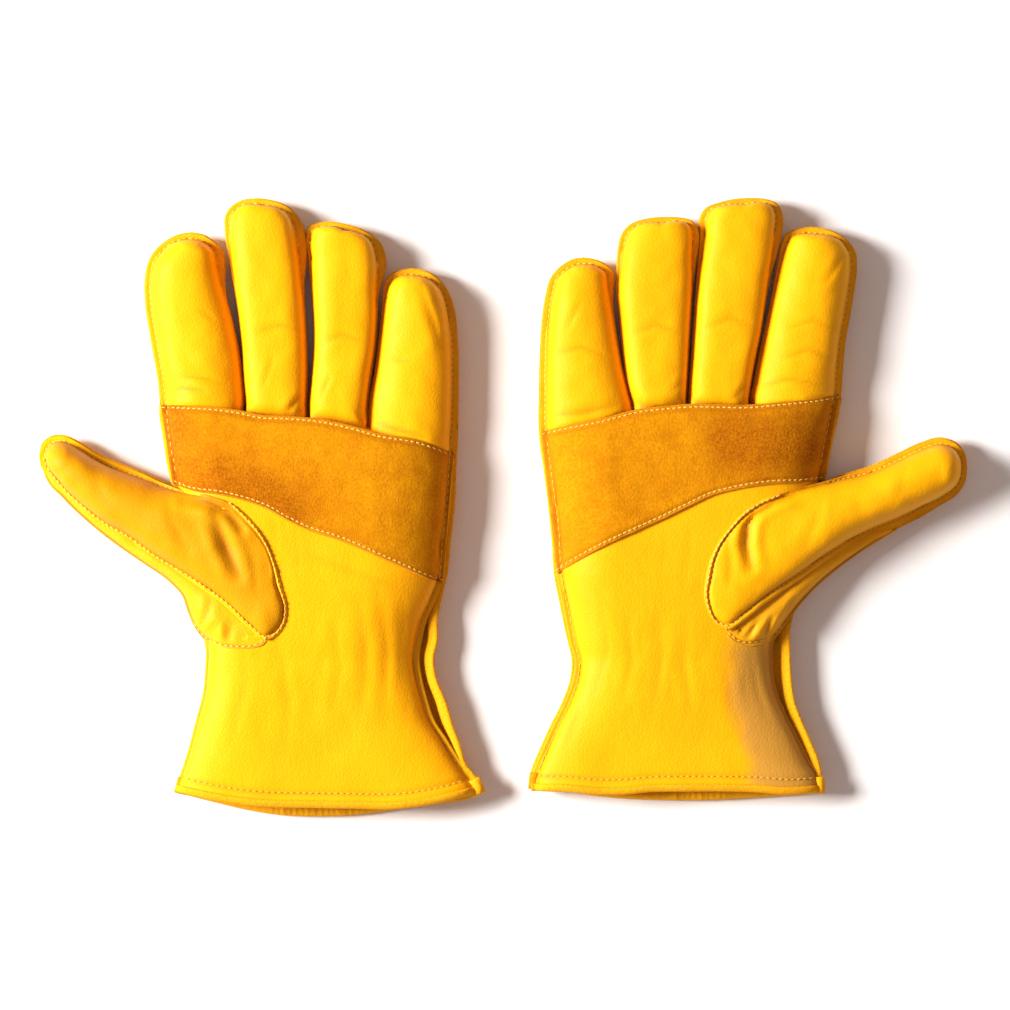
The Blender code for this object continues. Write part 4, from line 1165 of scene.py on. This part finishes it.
RIGHT_HAND = {
    "seed": 5.0, "gather": 13.0,
    "left_side": [(11.5, -114.3), (11.4, -111), (13, -106), (16, -99), (20, -90), (25, -80), (28.5, -70),
        (29, -62), (27.5, -57), (26, -50), (24, -40), (22, -30), (21, -15), (19.5, 0), (17.5, 15),
        (15.3, 30)],
    "right_side": [(129, -114.8), (128.3, -110), (125, -105), (120, -95), (115, -85), (111, -75),
        (109.5, -65), (110, -56), (114, -48), (120, -38), (125, -27), (128, -13), (129.5, 0), (130.3, 10),
        (132.5, 25), (135, 36), (137, 45)],
    "left_seam": [(-60, 2.6), (0, 2.4)], "right_seam": [(-60, 1.2), (0, 2.2)], "left_shoulder": 24,
    "right_shoulder": 28, "left_sewn": (-108, 28), "right_sewn": (14, 44),
    "tops": [(-122, 15.5), (-100, 16.5), (-62, 19), (-45, 21.5), (-28, 23.6), (0, 24.6), (20, 24), (40, 21.3),
        (54, 19.8)],
    "hem": [(11.5, -114.3), (25, -114.2), (40, -115.4), (50, -115.2), (60, -114.2), (75, -114), (90, -114),
        (105, -114.5), (115, -115.3), (129, -114.8)],
    "back_hem": [(10.3, -113.4), (25, -114.8), (40, -117), (60, -118.3), (80, -118.5), (100, -117.6),
        (115, -116.6), (130.5, -115.2)],
    "back_left": [(10.3, -113.4), (12, -106), (15, -99), (19, -90), (24, -80), (27.4, -70), (27.8, -62),
        (26.4, -56), (24.8, -49), (22.8, -39), (20.8, -29), (19.8, -15), (18.3, 0), (16.4, 15), (14.5, 30),
        (14.5, 33)],
    "back_right": [(130.5, -115.2), (130, -111), (129, -105), (126, -97), (122, -88), (119, -80),
        (117.5, -70), (117, -60), (117, -50), (119, -42), (122, -30), (125.5, -15), (129, 0), (131.3, 10),
        (134, 25), (136.5, 36), (138, 44)],
    "ticks": (70, 92),
    "folds": [(2.0, 0.9, [(62, -44), (64, -62), (60, -84)]), (1.8, 0.8, [(74, -46), (73, -64), (76, -84)]),
        (1.6, 0.8, [(50, -46), (52, -62), (48, -80)]), (1.6, 0.7, [(40, -40), (42, -58), (37, -76)]),
        (2.2, 0.9, [(88, -60), (92, -76), (97, -94)]), (1.6, 0.6, [(100, -60), (103, -74), (108, -90)]),
        (1.0, 0.35, [(30, -28), (38, -34), (44, -42)]), (0.9, 0.35, [(44, -22), (52, -30), (58, -38)]),
        (1.2, 0.5, [(76, -8), (74, -24), (72, -38)]), (1.1, 0.4, [(66, -12), (64, -28)]),
        (2.0, 0.6, [(28, -70), (30, -84), (26, -98)])],
    "patch_low": [(22, -27.5), (30, -22), (40, -16.5), (55, -9.5), (65, -5), (75, 0), (85, 4.5), (93, 6.5),
        (110, 9), (120, 9.3), (130.2, 10.5)],
    "patch_high": [(15.4, 30), (20, 31), (30, 33), (40, 35), (55, 38.8), (65, 40), (75, 40.8), (100, 40.6),
        (115, 42), (125, 43), (136.8, 45.2)],
    "patch_stain": [(94, 27), (104, 23), (118, 26)],
    "thumb_hole": [(112, 1), (104, -2), (98, -7), (91, -15), (88, -25), (86, -35), (87.5, -41), (92, -48),
        (100, -52), (108, -50), (113, -46), (142, -42), (147, -15), (142, 8), (124, 4)],
    "leaf_up": [(81.5, -30, None, 2.9), (83, -23, None, 2.9), (86, -16, None, 2.9), (91, -9, None, 2.9),
        (97, -2.5, None, 2.9), (103, 1.8, None, 2.9), (110, 4.8, None, 2.9), (118, 7, 20.5, 1.8),
        (129, 9.5, 16, 1.6), (139, 12.3, 11.5, 2), (149, 15.2, 9.5, 2.6), (160, 20.3, 9, 3), (170, 25, 9, 3),
        (177.5, 27.2, 9, 3), (184, 25.3, 9, 3), (187.8, 20.5, 9, 3), (188.7, 15.5, 9, 3)],
    "leaf_down": [(81.5, -30, None, 2.9), (81, -36, None, 2.9), (82.3, -42, None, 2.9),
        (86, -47.8, None, 2.4), (91, -50.3, 21.3, 3), (97, -46.8, 21, 4), (104, -41.2, 20.5, 4),
        (112, -35.5, 19, 4), (121, -29.5, 17, 4), (130, -23.3, 14, 4), (140, -17.3, 11.5, 4.2),
        (150, -12.6, 10, 4.4), (160, -8.8, 9.4, 4.6), (170, -3.6, 9.1, 4), (178, 0.8, 9, 3.4),
        (184.5, 5.2, 9, 3), (187.8, 10, 9, 3), (188.7, 15.5, 9, 3)],
    "round_seam": (0.36, 1.86), "lobe_sewn": (0.22, 1.84),
    "leaf_folds": [(2.0, 1.9, [(101.5, 0), (98.5, -8), (98, -16), (99.8, -25)]),
        (1.8, 1.3, [(120, 6), (109, 2), (101, -4)]), (1.8, 0.2, [(130, 6), (126, -6), (122, -16)]),
        (2.2, 0.2, [(162, 17), (160, 6), (155, -3)]), (1.4, 0.15, [(92, -18), (91, -32)])],
    "wing_up": [(108, -20, 0.6), (110, -5, 0.6), (118, 4, 1), (129, 9, 1.5), (139, 13, 2.5), (149, 16, 3),
        (160, 21, 3.2), (170, 25.7, 3.2), (178, 27.8, 3.2), (184.5, 25.8, 3.2), (188.3, 20.7, 3.2),
        (189, 15.5, 3.2)],
    "wing_down": [(108, -20, 0.6), (107, -38, 0.6), (112, -46, 1), (117.5, -44, 1.5), (121, -40, 2),
        (130, -30.5, 2.6), (140, -22.6, 3), (150, -15.6, 3.2), (160, -9.8, 3.2), (170, -4.8, 3.2),
        (178, 0, 3.2), (184.8, 4.4, 3.2), (188.2, 9.6, 3.2), (189, 15.5, 3.2)],
    "lobe_out": [(101, -57, None, 2), (106, -56, None, 2), (111, -53.6, None, 2), (115.5, -47.5, 11, 2),
        (120.8, -40.3, 10, 1.6), (128, -32.5, 9.5, 1.4), (137, -25, 9.3, 1.2), (146, -18.6, 9.1, 1),
        (155, -12.9, 9, 1), (160, -9.6, 9, 1)],
    "lobe_in": [(101, -57, None, 2), (96, -56.5, None, 2), (91, -53.5, None, 2), (89, -48.6, 19.6, 1),
        (94, -43.5, 19.4, 1), (102, -37.5, 18.6, 1), (112, -30.5, 17, 1), (122, -23.5, 14, 1),
        (132, -17.3, 11.5, 1), (142, -12.3, 9.6, 1), (152, -8.3, 8.4, 1), (160, -9.6, 9, 1)],
    "lobe_crown": [19.5, 19, 17.4, 14, 11, 9],
    "lobe_folds": [(1.0, 0.8, [(98, -55), (103, -47)]), (1.0, 0.8, [(105, -55), (109, -45)]),
        (1.0, 0.6, [(112, -50), (118, -38)])],
    "lobe_stain": 0.15,
    "tan_line": [(90, -55), (91, -80), (99, -108)],
}

RIGHT_FINGERS = {
    "little": {
        "seed": 21.0, "base": 30, "sewn": (0.2, 1.14),
        "left": [(33, 22, 0.6), (22, 22, 0.8), (17, 23, 2), (15.3, 30, 3), (15, 45, 3.2), (15.3, 60, 3.2),
            (16.2, 75, 3.2), (17.6, 85, 3.2), (20, 93, 3.2), (24, 97.3, 3.2), (28.5, 99.9, 3.1),
            (33, 100.6, 3)],
        "right": [(33, 22, 0.6), (46, 23, 0.6), (51.5, 28, 0.6), (53, 38, 0.6), (51.4, 46, 0.6),
            (48.8, 56, 0.6), (46.6, 68, 0.6), (45.2, 78, 0.8), (44.6, 86, 1.8), (45, 91, 3.4),
            (44.7, 94.8, 3.6), (42, 97.5, 3.3), (38, 99.6, 3), (33, 100.6, 3)],
        "folds": [(1.6, 0.9, [(22, 37), (34, 38), (46, 41)]), (1.4, 0.6, [(22, 62), (32, 64), (42, 60)]),
            (1.1, 0.5, [(26, 72), (31, 82)])],
    },
    "ring": {
        "seed": 22.0, "power": 3.3, "base": 38.5, "tucked": True, "sewn": (0.78, 1.22),
        "left": [(63, 30, 0.6), (56, 30.5, 0.6), (53.5, 34, 0.6), (52.6, 41, 0.6), (50.6, 48, 0.6),
            (49.1, 58, 0.6), (48.1, 68, 0.6), (47.1, 78, 0.6), (46.1, 88, 1), (46.4, 96, 1.8), (47, 104, 2.6),
            (48.5, 110, 3), (51.5, 113.8, 3), (57.5, 116.2, 3), (65, 117.1, 3)],
        "right": [(63, 30, 0.6), (71, 30.5, 0.6), (74, 34, 0.6), (74.7, 43, 0.6), (75.6, 60, 0.6),
            (76.6, 78, 0.6), (77.6, 92, 1), (78.6, 100, 2.4), (79.8, 107, 3.6), (79.6, 111.5, 3.6),
            (77, 115.4, 3.2), (72, 116.8, 3), (65, 117.1, 3)],
        "folds": [(2.2, 2.4, [(52, 43), (57, 40), (65, 40), (73, 42), (76, 46)]),
            (1.2, 0.8, [(69, 47), (74, 51)]), (1.5, 0.5, [(53, 70), (62, 73), (72, 70)])],
    },
    "middle": {
        "seed": 23.0, "power": 3.3, "base": 39, "tucked": True, "sewn": (0.8, 1.22),
        "left": [(87, 31, 0.6), (79, 31.5, 0.6), (76, 35, 0.6), (75.5, 45, 0.6), (76.4, 58, 0.6),
            (77.5, 74, 0.6), (78.5, 88, 0.8), (79.6, 100, 1.6), (80.2, 110, 2.6), (80.4, 117, 3),
            (82.5, 120.6, 3), (88, 122.9, 3), (94, 124.3, 3), (100, 124.8, 3)],
        "right": [(87, 31, 0.6), (96, 31.5, 0.6), (99.3, 35, 0.6), (100.2, 44, 0.6), (102.2, 56, 0.6),
            (105, 70, 0.6), (107.2, 84, 0.7), (109.3, 95, 1.4), (111.5, 103, 2.6), (113.1, 111, 3.6),
            (113.4, 118, 3.6), (111.5, 122.4, 3.2), (107, 124.3, 3), (100, 124.8, 3)],
        "folds": [(2.2, 2.4, [(74, 46), (78, 41.5), (86, 40.6), (95, 40.3), (101, 44)]),
            (1.2, 0.8, [(94, 44), (99, 49)]), (1.5, 0.5, [(82, 72), (92, 76), (102, 72)])],
    },
    "index": {
        "seed": 24.0, "base": 43, "sewn": (0.84, 1.8),
        "left": [(119, 35, 0.6), (108, 35.5, 0.6), (102, 38, 0.6), (100.6, 43, 0.6), (101.9, 50, 0.6),
            (104.2, 62, 0.6), (107.2, 75, 0.6), (109.9, 88, 0.8), (112, 99, 1.6), (113.5, 106, 2.6),
            (115, 109.8, 3), (119, 111.9, 3), (125, 113, 3)],
        "right": [(119, 35, 0.6), (131, 36, 1), (136, 39, 2.4), (137.2, 46, 3.2), (138, 57, 3.2),
            (139.2, 68, 3.2), (141, 78, 3.2), (142.6, 88, 3.2), (143.6, 97, 3.2), (143, 103.2, 3.2),
            (140, 107.6, 3.2), (135, 110.9, 3.1), (130, 112.5, 3), (125, 113, 3)],
        "folds": [(1.2, 0.7, [(106, 49), (116, 51), (128, 49)]),
            (1.2, 0.6, [(114, 60), (124, 63), (134, 59)]), (1.1, 0.5, [(116, 72), (126, 75), (135, 71)]),
            (1.3, 0.6, [(130, 90), (135, 97), (138, 102)])],
    },
}

build_glove("left", LEFT_HAND, LEFT_FINGERS, SHADED_THUMB_FINISH)
build_glove("right", RIGHT_HAND, RIGHT_FINGERS, GRAIN_FINISH)


# ---------------------------------------------------------------- floor, light and camera

FLOOR_DROP = 0.4 * MM
LENS = 140
SENSOR = 36
VIEW_WIDTH = 0.4106


def pale_floor():
    material, _, shader = new_material("pale_floor")
    shader.inputs["Base Color"].default_value = (0.87, 0.86, 0.86, 1)
    shader.inputs["Roughness"].default_value = 0.9
    bm = bmesh.new()
    bmesh.ops.create_grid(bm, x_segments=1, y_segments=1, size=3.0)
    floor = as_piece(bm, "floor", [material])
    floor.location.z = -FLOOR_DROP


def area_light(name, place, size, power, colour):
    """A square lamp that shines at the middle between the gloves."""
    lamp = bpy.data.lights.new(name, "AREA")
    lamp.size = size
    lamp.energy = power
    lamp.color = colour
    holder = bpy.data.objects.new(name, lamp)
    holder.location = place
    holder.rotation_euler = (-Vector(place)).to_track_quat("-Z", "Y").to_euler()
    bpy.context.scene.collection.objects.link(holder)


def look_down():
    """A long lens straight above the gloves, so that they look nearly flat."""
    lens = bpy.data.cameras.new("camera")
    lens.lens = LENS
    lens.sensor_width = SENSOR
    lens.clip_end = 20
    camera = bpy.data.objects.new("camera", lens)
    camera.location = (0.0008, 0.0002, VIEW_WIDTH * LENS / SENSOR + 0.010)
    bpy.context.scene.collection.objects.link(camera)
    bpy.context.scene.camera = camera


def soft_surroundings(colour, strength):
    world = bpy.data.worlds.new("studio")
    world.use_nodes = True
    background = world.node_tree.nodes["Background"]
    background.inputs[0].default_value = colour
    background.inputs[1].default_value = strength
    bpy.context.scene.world = world


pale_floor()
area_light("key", (-1.70, 0.26, 1.16), 0.66, 110, (1.0, 0.985, 0.96))
soft_surroundings((1.0, 0.80, 0.73, 1), 0.37)
bpy.context.scene.view_settings.view_transform = "Standard"
look_down()
